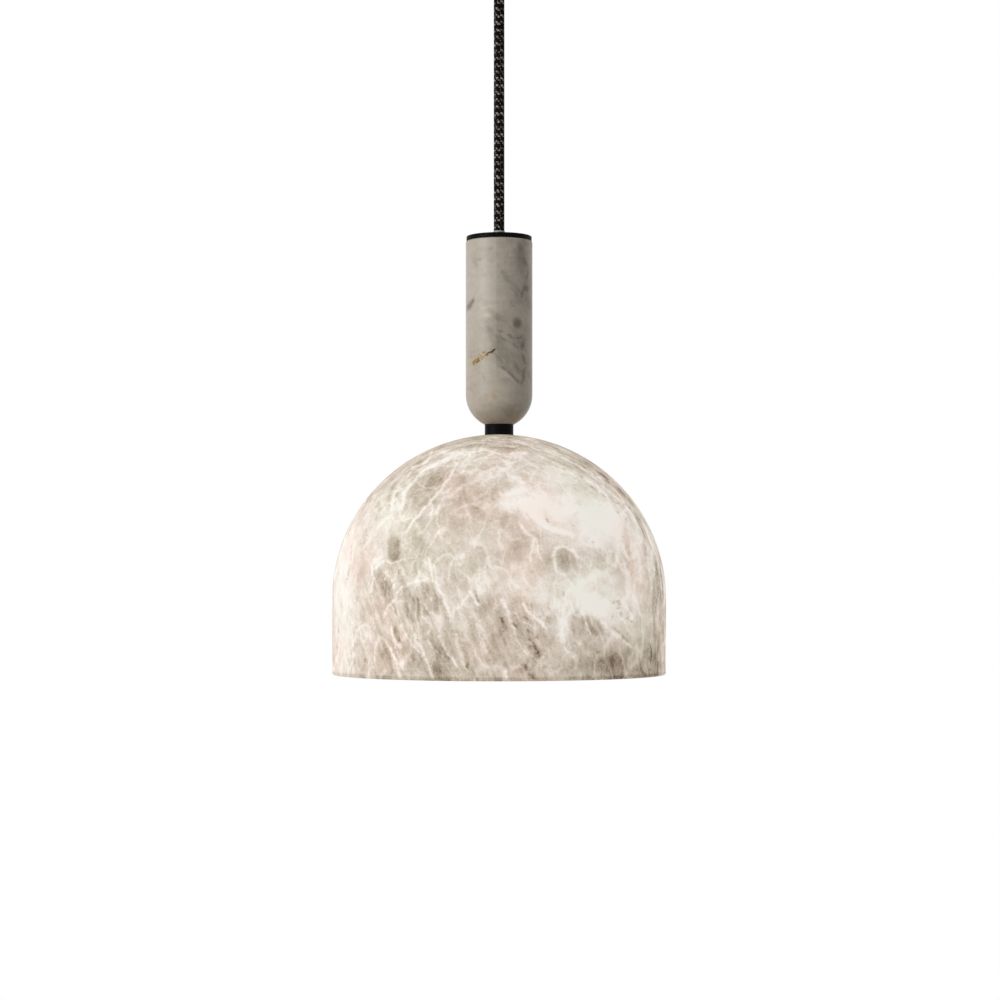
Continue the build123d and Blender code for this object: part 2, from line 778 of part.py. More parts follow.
nodes = {
    "ceiling_bracket": ceiling_bracket(),
    "canopy_cup": canopy_cup(),
    "canopy_screws": canopy_screws(),
    "earth_screw": earth_screw(),
    "cord_grip_body": cord_grip_body(),
    "cord_grip_washer": cord_grip_washer(),
    "cord_grip_nut": cord_grip_nut(),
    "cord_grip_set_screw": cord_grip_set_screw(),
    "cord_held_end": cord_held_end(),
    "terminal_block": terminal_block(),
    "terminal_sleeves": terminal_sleeves(),
    "terminal_screws": terminal_screws(),
    "terminal_block_pin": terminal_block_pin(),
    "cord_bend": cord_bend(),
    "suspension_cord": suspension_cord(),
    "cord_gland": cord_gland(),
    "top_cap": top_cap(),
    "cap_gasket": cap_gasket(),
    "stem_stone": stem_stone(),
    "centring_bush": centring_bush(),
    "threaded_tube": threaded_tube(),
    "cable_core": cable_core(),
    "cable_clamp": cable_clamp(),
    "neck_collar": neck_collar(),
    "neck_washer_upper": neck_washer(stem_bottom - neck_washer_thickness),
    "neck_washer_lower": neck_washer(dome_seat),
    "dome_shade": dome_shade(),
    "dome_pad": dome_pad(),
    "dome_plate": dome_plate(),
    "lock_washer": lock_washer(),
    "tube_nut": tube_nut(),
    "holder_cap": holder_cap(),
    "holder_set_screw": holder_set_screw(),
    "holder_skirt": holder_skirt(),
    "holder_insert": holder_insert(),
    "holder_terminals": holder_terminals(),
    "holder_terminal_screws": holder_terminal_screws(),
    "holder_contact": holder_contact(),
    "holder_shell": holder_shell(),
    "bulb_screw_cap": bulb_screw_cap(),
    "bulb_insulator": bulb_insulator(),
    "bulb_tip": bulb_tip(),
    "bulb_collar": bulb_collar(),
    "bulb_globe": bulb_globe(),
    "bulb_led_board": led_board(),
    "bulb_leds": led_chips(),
    "bulb_driver_board": driver_board(),
    "bulb_driver_pins": driver_pins(),
}
for pole, colour in enumerate(("brown", "blue", "green")):
    nodes[f"canopy_lead_{colour}"] = canopy_lead(pole)
    nodes[f"stem_lead_{colour}"] = stem_lead(pole)

for name, shape in nodes.items():
    export_step(shape, f"parts/{name}.step")

cord_tilt_free = math.degrees(math.atan((ball_radius + loose_gap) / cord_radius))
print(f"{len(nodes)} nodes")
print(f"cord: straight, {cord_length:.1f} mm long, {2 * cord_radius:.1f} mm across, no bends,"
      f" free to lean {cord_tilt_free:.1f} degrees at the grip")
print(f"levels: mouth {cord_exit:.2f}, gland {gland_top:.2f}, cap {cap_top:.2f}, stem {stem_top:.2f} to"
      f" {stem_bottom:.2f}, dome {dome_seat:.2f} to {dome_rim:.2f}, bulb {bulb_bottom:.2f}")
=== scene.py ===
"""Alabaster bowl pendant: camera, stage, lights, finishes and the braided cord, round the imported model."""
import math

import bmesh
import bpy
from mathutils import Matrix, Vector


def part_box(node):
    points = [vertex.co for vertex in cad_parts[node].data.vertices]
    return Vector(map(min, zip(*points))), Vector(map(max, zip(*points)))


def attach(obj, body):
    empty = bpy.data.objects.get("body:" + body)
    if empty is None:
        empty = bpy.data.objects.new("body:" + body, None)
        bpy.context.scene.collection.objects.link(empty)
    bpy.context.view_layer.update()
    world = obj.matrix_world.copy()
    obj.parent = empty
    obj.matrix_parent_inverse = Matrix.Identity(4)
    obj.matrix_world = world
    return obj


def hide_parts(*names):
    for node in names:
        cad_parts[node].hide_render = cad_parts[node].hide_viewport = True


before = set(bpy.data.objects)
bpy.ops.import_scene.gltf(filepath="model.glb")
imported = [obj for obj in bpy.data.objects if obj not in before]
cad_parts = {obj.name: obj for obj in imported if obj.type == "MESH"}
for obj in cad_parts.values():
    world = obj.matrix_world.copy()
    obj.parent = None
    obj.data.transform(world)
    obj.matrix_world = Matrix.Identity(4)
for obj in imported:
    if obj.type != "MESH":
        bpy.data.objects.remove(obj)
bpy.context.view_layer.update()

MM = 0.001

# ------------------------------------------------------------------ places, from the frame

bend_low, bend_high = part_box("cord_bend")
stem_low, stem_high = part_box("stem_stone")
dome_low, dome_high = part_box("dome_shade")

cord_diameter = bend_high[0] - bend_low[0]
dome_radius = (dome_high[0] - dome_low[0]) / 2
dome_rim = dome_low[2]
dome_crown = 98.2 * MM       # height of the curved part
dome_seat = 0.45 * MM        # faced off its top, under the neck
dome_skirt = dome_high[2] - dome_rim - dome_crown + dome_seat
dome_equator = dome_rim + dome_skirt
stem_radius = (stem_high[0] - stem_low[0]) / 2

# ------------------------------------------------------------------ camera

camera_distance = 1.380
camera_height = -0.387
photo_side = 1000.0
photo_axis_column = 499.1
photo_horizon_row = 577.0
sensor = 36.0
pixels_per_metre_on_axis = 1664.5
focal_pixels = pixels_per_metre_on_axis * camera_distance


def add_camera():
    """The photograph's camera: level, a little above the dome's rim."""
    data = bpy.data.cameras.new("photo_camera")
    data.sensor_width = sensor
    data.lens = focal_pixels * sensor / photo_side
    data.shift_x = (photo_side / 2 - photo_axis_column) / photo_side
    data.shift_y = (photo_horizon_row - photo_side / 2) / photo_side
    data.clip_start = 0.05
    data.clip_end = 50.0
    camera = bpy.data.objects.new("photo_camera", data)
    camera.location = (0.0, -camera_distance, camera_height)
    camera.rotation_euler = (math.radians(90), 0.0, 0.0)
    bpy.context.scene.collection.objects.link(camera)
    bpy.context.scene.camera = camera


# ------------------------------------------------------------------ node helpers

class Nodes:
    """A new material's node tree, or one given, with one short call for each kind of node."""

    def __init__(self, name, tree=None):
        if tree:
            self.tree = tree
            return
        self.material = bpy.data.materials.new(name)
        self.material.use_nodes = True
        self.tree = self.material.node_tree
        self.tree.nodes.clear()
        self.out = self.tree.nodes.new("ShaderNodeOutputMaterial")

    def put(self, socket, value):
        """Sets a socket to a number, a tuple or another node's output."""
        if isinstance(value, bpy.types.NodeSocket):
            self.tree.links.new(value, socket)
        else:
            socket.default_value = value

    def new(self, kind, *inputs, **settings):
        node = self.tree.nodes.new("ShaderNode" + kind)
        for key, value in settings.items():
            setattr(node, key, value)
        for socket, value in zip(node.inputs, inputs):
            if value is not None:
                self.put(socket, value)
        return node

    def place(self):
        """The point in the object's own space, which moves with it."""
        return self.new("TexCoord").outputs["Object"]

    def math(self, operation, *inputs):
        return self.new("Math", *inputs, operation=operation).outputs[0]

    def plus(self, first, second):
        return self.math("ADD", first, second)

    def times(self, first, second):
        return self.math("MULTIPLY", first, second)

    def held(self, value, low=0.0, high=1.0):
        """A value kept between two others. It has a node of its own: with the clamp switches of other nodes,
        a tree as long as the dome's overflows the renderer and comes out black."""
        return self.new("Clamp", value, low, high).outputs[0]

    def vector(self, operation, *inputs):
        node = self.new("VectorMath", *inputs, operation=operation)
        return node.outputs["Value" if operation in ("DOT_PRODUCT", "LENGTH", "DISTANCE") else "Vector"]

    def scaled(self, vector, factor):
        node = self.new("VectorMath", vector, operation="SCALE")
        self.put(node.inputs["Scale"], factor)
        return node.outputs["Vector"]

    def stretched(self, vector, x, y, z):
        return self.vector("MULTIPLY", vector, (x, y, z))

    def turned(self, vector, degrees):
        """A vector turned about X, Y and Z."""
        node = self.new("Mapping", vector)
        node.inputs["Rotation"].default_value = tuple(math.radians(angle) for angle in degrees)
        return node.outputs[0]

    def noise(self, vector, scale, detail=3.0, roughness=0.5, distortion=0.0, colour=False):
        node = self.new("TexNoise", noise_dimensions="3D")
        for name, value in (("Vector", vector), ("Scale", scale), ("Detail", detail),
                            ("Roughness", roughness), ("Distortion", distortion)):
            self.put(node.inputs[name], value)
        return node.outputs["Color" if colour else "Fac"]

    def cells(self, vector, scale):
        """The distance to the nearest edge between cells."""
        node = self.new("TexVoronoi", voronoi_dimensions="3D", feature="DISTANCE_TO_EDGE")
        self.put(node.inputs["Vector"], vector)
        self.put(node.inputs["Scale"], scale)
        return node.outputs["Distance"]

    def fit(self, value, low, high, to_low=0.0, to_high=1.0, smooth=True):
        """A value's range mapped to another, held at both ends."""
        node = self.new("MapRange", value, low, high, to_low, to_high, clamp=False)
        node.interpolation_type = "SMOOTHSTEP" if smooth else "LINEAR"
        if smooth:
            return node.outputs[0]
        return self.held(node.outputs[0], min(to_low, to_high), max(to_low, to_high))

    def mix(self, factor, first, second, blend="MIX"):
        node = self.new("Mix", data_type="RGBA", blend_type=blend)
        self.put(node.inputs[0], factor)
        self.put(node.inputs[6], first)
        self.put(node.inputs[7], second)
        return node.outputs[2]

    def shaken(self, vector, scale, amount, detail=2.0):
        """A vector moved about by coloured noise, so that what it draws wavers."""
        shake = self.vector("SUBTRACT", self.noise(vector, scale, detail, colour=True), (0.5, 0.5, 0.5))
        return self.vector("ADD", vector, self.scaled(shake, amount))

    def split(self, vector):
        return self.new("SeparateXYZ", vector).outputs

    def join(self, x, y, z):
        return self.new("CombineXYZ", x, y, z).outputs[0]

    def seen_directly(self):
        """1 for the camera, and for what gloss and glass show it, and 0 for other light."""
        path = self.new("LightPath").outputs
        return self.math("MAXIMUM", self.math("MAXIMUM", path["Is Camera Ray"], path["Is Glossy Ray"]),
                         path["Is Transmission Ray"])

    def bump(self, height, strength, distance):
        node = self.new("Bump")
        node.inputs["Strength"].default_value = strength
        node.inputs["Distance"].default_value = distance
        self.put(node.inputs["Height"], height)
        return node.outputs[0]

    def surface(self, **sockets):
        """Ends the tree in one Principled shader. Socket names are written with underscores."""
        shader = self.new("BsdfPrincipled")
        for name, value in sockets.items():
            self.put(shader.inputs[name.replace("_", " ")], value)
        self.tree.links.new(shader.outputs[0], self.out.inputs["Surface"])
        return self.material


def grey(level):
    return (level, level, level, 1.0)


def opaque(colour):
    return (*colour, 1.0)


def dimmed(colour, factor):
    return (*(part * factor for part in colour), 1.0)


# ------------------------------------------------------------------ plain finishes

def satin_black(name):
    """Powder-coated or turned black metal: satin, very slightly mottled."""
    level, rough = 0.002, 0.40
    n = Nodes(name)
    fine = n.noise(n.place(), 900.0, 2.0)
    broad = n.noise(n.place(), 60.0, 2.0)
    tone = n.mix(n.fit(broad, 0.3, 0.7), grey(level), grey(level * 1.5))
    return n.surface(Base_Color=tone, Roughness=n.fit(broad, 0.3, 0.7, rough, rough + 0.08),
                     Specular_IOR_Level=0.04, Normal=n.bump(fine, 0.15, 0.0002))


def brushed(name, colour, rough):
    """Turned or plated metal with fine rings and cloudy wear."""
    n = Nodes(name)
    rings = n.noise(n.stretched(n.place(), 40.0, 40.0, 2500.0), 1.0, 2.0)
    cloud = n.noise(n.place(), 120.0, 3.0)
    tone = n.mix(n.fit(cloud, 0.3, 0.75), opaque(colour), dimmed(colour, 0.72))
    return n.surface(Base_Color=tone, Metallic=1.0, Roughness=n.fit(cloud, 0.2, 0.8, rough, rough + 0.15),
                     Normal=n.bump(rings, 0.2, 0.0002))


def moulded(name, colour, rough, grain=0.15, shine=0.35):
    """Moulded plastic, rubber or ceramic with a fine grain."""
    n = Nodes(name)
    fine = n.noise(n.place(), 1400.0, 2.0)
    cloud = n.noise(n.place(), 90.0, 3.0)
    tone = n.mix(n.fit(cloud, 0.25, 0.75), opaque(colour), dimmed(colour, 0.85))
    return n.surface(Base_Color=tone, Roughness=n.fit(fine, 0.2, 0.8, rough, rough + 0.1),
                     Specular_IOR_Level=shine, Normal=n.bump(fine, grain, 0.0002))


def striped_wire(name, colour, stripe):
    """Insulation with slanting stripes in a second colour, about 7 mm apart along it."""
    stripe_rate = 900.0      # radians a metre
    n = Nodes(name)
    x, y, z = n.split(n.place())
    along = n.math("SINE", n.times(n.plus(n.plus(x, y), z), stripe_rate))
    fine = n.noise(n.place(), 1400.0, 2.0)
    tone = n.mix(n.fit(along, -0.1, 0.1), opaque(colour), opaque(stripe))
    return n.surface(Base_Color=tone, Roughness=0.4, Normal=n.bump(fine, 0.1, 0.0002))


def glowing(name, colour, glow, strength):
    """Opal glass or phosphor that gives light, a little cloudy."""
    n = Nodes(name)
    cloud = n.noise(n.place(), 70.0, 3.0)
    tone = n.mix(n.fit(cloud, 0.3, 0.7), opaque(glow), dimmed(glow, 0.92))
    shell = n.mix(n.fit(cloud, 0.3, 0.7), opaque(colour), dimmed(colour, 0.95))
    return n.surface(Base_Color=shell, Emission_Color=tone, Emission_Strength=strength, Roughness=0.35)


# ------------------------------------------------------------------ stage and light

floor_level = -2.20      # low enough to stay out of views from below
floor_reach = 6.0


def white_to_camera(name, colour):
    """A pale surface that the camera, gloss and glass see as white."""
    n = Nodes(name)
    seen = n.seen_directly()
    speck = n.noise(n.place(), 3.0, 2.0)
    diffuse = n.new("BsdfDiffuse", n.mix(speck, grey(colour), grey(colour * 0.98)))
    glow = n.new("Emission", grey(1.0), 1.0)
    both = n.new("MixShader", seen, diffuse.outputs[0], glow.outputs[0])
    n.tree.links.new(both.outputs[0], n.out.inputs["Surface"])
    return n.material


def add_stage():
    """A pale floor far below the lamp."""
    mesh = bpy.data.meshes.new("studio_floor")
    corners = [(x * floor_reach, y * floor_reach, floor_level)
               for x, y in ((-1, -1), (1, -1), (1, 1), (-1, 1))]
    mesh.from_pydata(corners, [], [(0, 1, 2, 3)])
    floor = bpy.data.objects.new("studio_floor", mesh)
    bpy.context.scene.collection.objects.link(floor)
    mesh.materials.append(white_to_camera("studio_floor", 0.80))


def add_world(strength):
    """Even light from everywhere, which itself is seen as white."""
    world = bpy.data.worlds.new("studio")
    world.use_nodes = True
    world.node_tree.nodes.clear()
    n = Nodes("studio", world.node_tree)
    level = n.new("MapRange", n.seen_directly(), 0.0, 1.0, strength, 1.0)
    background = n.new("Background", grey(1.0), level.outputs[0])
    n.new("OutputWorld", background.outputs[0])
    bpy.context.scene.world = world


def add_area(name, place, target, size, power):
    data = bpy.data.lights.new(name, "AREA")
    data.shape = "RECTANGLE"
    data.size, data.size_y = size
    data.energy = power
    light = bpy.data.objects.new(name, data)
    light.location = place
    light.rotation_euler = (Vector(target) - Vector(place)).to_track_quat("-Z", "Y").to_euler()
    bpy.context.scene.collection.objects.link(light)


# ------------------------------------------------------------------ the stones

sight_rounds = 12        # that bring a line of sight onto a curved front


def on_front(column, row, widest, radius_at):
    """The point on a turned piece's front, as x and height, that a pixel of the photograph shows."""
    y = -widest
    for _ in range(sight_rounds):
        scale = (camera_distance + y) / focal_pixels
        x = (column - photo_axis_column) * scale
        z = camera_height - (row - photo_horizon_row) * scale
        radius = radius_at(z)
        y = -math.sqrt(max(radius * radius - x * x, 0.0))
    return x, z


def dome_radius_at(z):
    rise = max(z - dome_equator, 0.0) / dome_crown
    return dome_radius * math.sqrt(max(1.0 - rise * rise, 0.0))


def on_dome(column, row):
    return on_front(column, row, dome_radius, dome_radius_at)


def on_stem(column, row):
    return on_front(column, row, stem_radius, lambda z: stem_radius)


def stroke_group():
    """A node group that draws a line from Start to End. It gives Most, or Strength less the distance to the
    line times Fall, where that is more."""
    tree = bpy.data.node_groups.new("stroke", "ShaderNodeTree")
    for socket, kind in (("Most", "Float"), ("Place", "Vector"), ("Start", "Vector"), ("End", "Vector"),
                         ("Strength", "Float"), ("Fall", "Float")):
        tree.interface.new_socket(socket, in_out="INPUT", socket_type="NodeSocket" + kind)
    tree.interface.new_socket("Most", in_out="OUTPUT", socket_type="NodeSocketFloat")
    given = tree.nodes.new("NodeGroupInput").outputs
    n = Nodes("stroke", tree)
    from_start = n.vector("SUBTRACT", given["Place"], given["Start"])
    run = n.vector("SUBTRACT", given["End"], given["Start"])
    along = n.math("DIVIDE", n.vector("DOT_PRODUCT", from_start, run), n.vector("DOT_PRODUCT", run, run))
    away = n.vector("DISTANCE", from_start, n.scaled(run, n.held(along)))
    near = n.math("SUBTRACT", given["Strength"], n.times(away, given["Fall"]))
    most = n.math("MAXIMUM", given["Most"], near)
    tree.links.new(most, tree.nodes.new("NodeGroupOutput").inputs[0])
    return tree


stroke_tree = stroke_group()


def oval(n, flat, centre, across, upright, lean=0.0):
    """How near a point is to the middle of an oval: 1 there, and 0 from its edge outwards. Sizes are in
    metres, and lean is in radians, clockwise."""
    node = n.new("TexGradient", flat, gradient_type="SPHERICAL")
    node.texture_mapping.vector_type = "TEXTURE"
    node.texture_mapping.translation = (centre[0], 0.0, centre[1])
    node.texture_mapping.rotation = (0.0, lean, 0.0)
    node.texture_mapping.scale = (across, 1.0, upright)
    return node.outputs["Fac"]


# The dome's front, in pixels of the photograph. A line is its strength, its half-width and the
# columns and rows that it passes. A patch is its centre's column and row, its half-width and half-height, its lean in
# degrees, and how much lighter or darker the dome is there.
dome_veins = [
    # left shoulder
    (1.0, 2.6, (463, 455), (450, 457), (440, 463), (426, 468), (415, 480), (405, 492), (402, 509)),
    (0.9, 2.0, (457, 464), (450, 476), (442, 489), (432, 500), (424, 509), (412, 523), (406, 532)),
    (0.8, 1.8, (450, 456), (459, 459), (470, 453), (485, 449), (496, 453), (507, 456), (513, 453)),
    (0.5, 1.6, (495, 452), (487, 457), (477, 462)), (0.55, 1.5, (486, 440), (479, 443), (474, 448)),
    (0.7, 1.6, (432, 452), (427, 461), (413, 467), (407, 478)),
    (0.8, 1.7, (400, 486), (394, 496), (391, 509)),
    (0.45, 3.2, (402, 506), (404, 522), (405, 540), (404, 560)),
    (0.35, 2.2, (409, 512), (411, 530), (409, 556)),
    (0.55, 2.0, (438, 506), (437, 524), (440, 536), (447, 541), (453, 550)),
    (0.4, 2.2, (463, 500), (469, 515), (482, 524)), (0.4, 1.6, (441, 515), (444, 530)),
    (0.3, 1.6, (446, 508), (448, 528), (455, 536)),
    # left flank
    (0.8, 1.8, (376, 559), (372, 568), (374, 577), (370, 592)),
    (0.7, 1.6, (376, 568), (384, 561), (392, 564), (403, 560), (413, 557)),
    (0.7, 1.9, (387, 572), (393, 585), (396, 599)), (0.6, 1.3, (384, 576), (387, 589), (389, 598)),
    (0.8, 2.2, (397, 592), (404, 586), (417, 582), (429, 578), (431, 571), (429, 559)),
    (0.75, 2.2, (429, 578), (438, 584), (443, 597), (447, 609), (451, 622)),
    (0.75, 1.9, (395, 599), (388, 607), (384, 618)), (0.65, 1.5, (392, 603), (394, 614), (397, 625)),
    (0.6, 1.6, (413, 585), (420, 599), (430, 611), (437, 617)),
    (0.6, 1.6, (420, 602), (423, 614), (430, 625)), (0.5, 1.6, (418, 584), (426, 592), (431, 600)),
    (0.95, 2.2, (392, 628), (395, 640), (400, 648)), (0.8, 2.0, (390, 649), (396, 661), (400, 677)),
    (0.55, 1.8, (394, 646), (401, 658), (402, 670)), (0.6, 1.8, (400, 626), (410, 640), (420, 652)),
    (0.85, 2.4, (414, 634), (421, 648), (427, 661), (433, 677)),
    (0.55, 1.7, (427, 640), (436, 652), (446, 660)), (0.7, 1.9, (440, 636), (448, 655), (457, 665)),
    (0.9, 1.2, (450, 656), (456, 663)), (0.7, 1.5, (462, 661), (468, 671)),
    (0.45, 1.8, (444, 611), (452, 627), (458, 640)), (0.45, 1.6, (455, 600), (460, 611), (466, 624)),
    (0.95, 1.8, (469, 592), (473, 598), (478, 605)),
    (0.5, 1.8, (473, 612), (478, 628), (484, 643), (489, 655)),
    (0.5, 2.2, (475, 650), (483, 665), (488, 677)), (0.4, 2.0, (486, 648), (492, 663), (498, 676)),
    (0.55, 1.4, (351, 622), (355, 630), (359, 640)), (0.5, 1.3, (365, 590), (372, 604), (381, 620)),
    (0.5, 2.0, (376, 655), (373, 668)), (0.5, 1.8, (407, 600), (402, 601), (396, 600)),
    (0.3, 1.6, (404, 655), (408, 670)),
    # middle
    (0.65, 2.2, (503, 600), (508, 613), (512, 626), (518, 640), (526, 655)),
    (1.0, 1.9, (523, 604), (531, 615), (540, 622), (546, 628)),
    (0.6, 1.4, (514, 612), (522, 621), (534, 627)),
    (0.75, 1.9, (519, 524), (527, 532), (534, 538), (532, 549), (531, 561)),
    (0.6, 1.7, (535, 538), (538, 548), (542, 560)),
    (1.0, 3.0, (524, 508), (534, 517), (546, 526), (560, 531), (572, 535)),
    (0.8, 2.2, (578, 557), (573, 549), (563, 546), (555, 549), (552, 557), (556, 568)),
    (0.6, 2.0, (557, 570), (566, 577), (573, 584)), (0.5, 1.5, (501, 503), (507, 508), (513, 513)),
    (0.5, 1.5, (519, 462), (524, 470), (530, 475)), (0.4, 1.6, (504, 552), (508, 560), (513, 566)),
    (0.35, 1.4, (515, 525), (516, 540)), (0.5, 1.4, (516, 457), (512, 463)),
    (0.5, 2.2, (505, 672), (507, 680)), (0.5, 1.6, (549, 648), (541, 661), (535, 668)),
    (0.5, 1.4, (521, 640), (531, 656), (541, 664)),
    # right shoulder
    (0.7, 1.5, (562, 457), (569, 460)), (0.6, 1.4, (548, 467), (560, 469), (572, 473)),
    (0.8, 1.6, (584, 478), (595, 485), (605, 495)), (0.5, 1.5, (604, 488), (612, 495), (620, 499)),
    (0.9, 2.0, (599, 491), (607, 497)), (0.7, 1.5, (627, 508), (622, 513)),
    (0.5, 1.4, (570, 462), (584, 469), (597, 479)), (0.5, 1.3, (586, 466), (601, 478)),
    # right flank
    (0.5, 2.0, (646, 528), (652, 548), (653, 572), (651, 600)),
    (0.7, 1.2, (641, 566), (640, 573), (642, 578)), (0.6, 2.2, (560, 636), (566, 650), (576, 660)),
    (0.7, 2.4, (572, 590), (590, 600), (606, 614)), (0.6, 2.0, (566, 594), (564, 612), (560, 636)),
    (0.9, 1.8, (581, 611), (586, 622), (591, 633)),
    (0.7, 2.0, (604, 622), (612, 632), (622, 639), (631, 647)),
    (0.8, 2.2, (622, 600), (628, 609), (633, 619)), (0.6, 1.5, (616, 611), (618, 617)),
    (0.45, 2.4, (577, 640), (586, 652), (594, 664)), (0.4, 1.6, (566, 660), (575, 667)),
    (0.5, 1.2, (656, 570), (659, 592), (658, 630)), (0.4, 1.4, (650, 610), (651, 640), (649, 668)),
    (0.6, 1.4, (621, 618), (627, 623), (629, 632)),
]
dome_cracks = [
    # left
    (0.7, 2.6, (396, 483), (391, 492), (388, 501)), (0.6, 2.2, (391, 502), (386, 508)),
    (0.6, 2.2, (399, 491), (396, 500), (393, 506)), (0.6, 2.6, (381, 499), (376, 509)),
    (0.65, 2.6, (381, 506), (377, 514), (375, 523)), (0.5, 2.4, (367, 524), (366, 538), (361, 550)),
    (0.9, 1.7, (353, 544), (350, 553)), (0.6, 1.6, (349, 571), (347, 583)),
    (0.6, 1.2, (355, 518), (346, 540)), (0.9, 1.8, (373, 493), (366, 503)),
    (0.5, 1.4, (349, 620), (354, 630), (358, 637)), (0.9, 2.2, (357, 643), (351, 654)),
    (0.7, 1.3, (375, 562), (374, 568)), (0.45, 2.0, (360, 566), (357, 590), (357, 610)),
    (0.5, 1.5, (355, 617), (358, 622)), (0.5, 2.0, (338, 620), (338, 640), (337, 660)),
    (0.4, 2.0, (334, 600), (334, 640)), (0.5, 1.8, (391, 567), (392, 576)),
    (0.45, 1.6, (398, 566), (399, 577)), (0.6, 1.8, (394, 604), (396, 619)),
    (0.5, 1.5, (457, 555), (462, 566)), (0.5, 2.0, (458, 639), (465, 656)),
    (0.5, 1.6, (460, 628), (462, 639)), (0.6, 1.8, (465, 661), (471, 672)),
    (0.45, 1.6, (450, 624), (455, 633)), (0.6, 1.4, (475, 594), (480, 603)),
    (0.55, 2.4, (410, 648), (416, 666)), (0.5, 1.5, (429, 503), (426, 508)),
    (0.5, 2.2, (366, 655), (364, 668)), (0.5, 1.8, (349, 657), (351, 672)),
    (0.45, 1.5, (423, 633), (424, 644)),
    # middle
    (0.45, 1.8, (490, 479), (493, 486), (491, 496), (494, 501)), (0.5, 1.4, (463, 486), (466, 497)),
    (0.8, 2.6, (522, 664), (530, 672), (537, 680)), (0.6, 1.4, (513, 616), (522, 617), (532, 621)),
    (0.7, 1.6, (512, 619), (517, 629)), (0.6, 1.5, (524, 628), (534, 634), (540, 640)),
    (0.7, 2.2, (530, 641), (537, 650), (542, 660)), (0.5, 1.3, (526, 640), (533, 652)),
    (0.5, 1.2, (532, 603), (535, 612), (545, 620)), (0.5, 1.2, (540, 606), (545, 615), (552, 622)),
    (0.5, 1.2, (548, 606), (552, 614), (557, 619)), (0.5, 1.8, (545, 619), (551, 626)),
    (0.5, 1.3, (528, 599), (528, 608)), (0.6, 1.6, (545, 519), (549, 523)),
    (0.6, 1.6, (500, 614), (504, 632)), (0.6, 1.8, (503, 637), (507, 648)),
    (0.5, 1.5, (537, 539), (541, 552)), (0.6, 1.8, (562, 590), (567, 602)),
    (0.4, 1.4, (515, 455), (510, 461)),
    # right
    (0.7, 1.3, (577, 463), (590, 470), (601, 478)), (0.6, 1.4, (560, 474), (570, 476), (579, 480)),
    (0.6, 1.3, (575, 473), (585, 479)), (0.8, 1.3, (586, 482), (597, 490), (608, 499), (622, 505)),
    (0.7, 1.3, (606, 496), (616, 501)), (0.6, 1.4, (592, 477), (602, 486)),
    (1.0, 1.7, (598, 471), (612, 484), (626, 497), (635, 507)),
    (0.9, 1.4, (621, 505), (628, 506), (630, 510)), (0.6, 1.5, (621, 509), (617, 516)),
    (0.5, 1.5, (627, 512), (626, 527), (622, 541)), (0.5, 1.4, (620, 521), (618, 532)),
    (0.6, 2.0, (634, 511), (641, 526), (645, 545), (646, 562)),
    (0.55, 2.0, (655, 560), (658, 585), (656, 612)), (0.5, 1.3, (571, 526), (575, 527)),
    (0.9, 1.6, (591, 541), (595, 542)), (1.0, 1.5, (614, 628), (621, 635), (628, 642)),
    (1.0, 1.8, (611, 604), (615, 601), (619, 602), (618, 606)), (0.7, 1.2, (614, 608), (623, 608)),
    (1.0, 2.0, (620, 613), (621, 614)), (0.6, 1.3, (613, 611), (612, 621)),
    (0.7, 1.1, (620, 597), (625, 603)), (0.5, 1.1, (617, 611), (615, 616), (618, 619)),
    (0.6, 1.4, (625, 617), (631, 619), (634, 623)), (0.6, 2.2, (603, 651), (595, 653)),
    (0.45, 1.5, (646, 600), (648, 612)), (0.6, 2.2, (640, 668), (646, 676)),
    (0.45, 1.4, (651, 640), (652, 668)), (0.5, 1.5, (573, 641), (580, 650)),
]
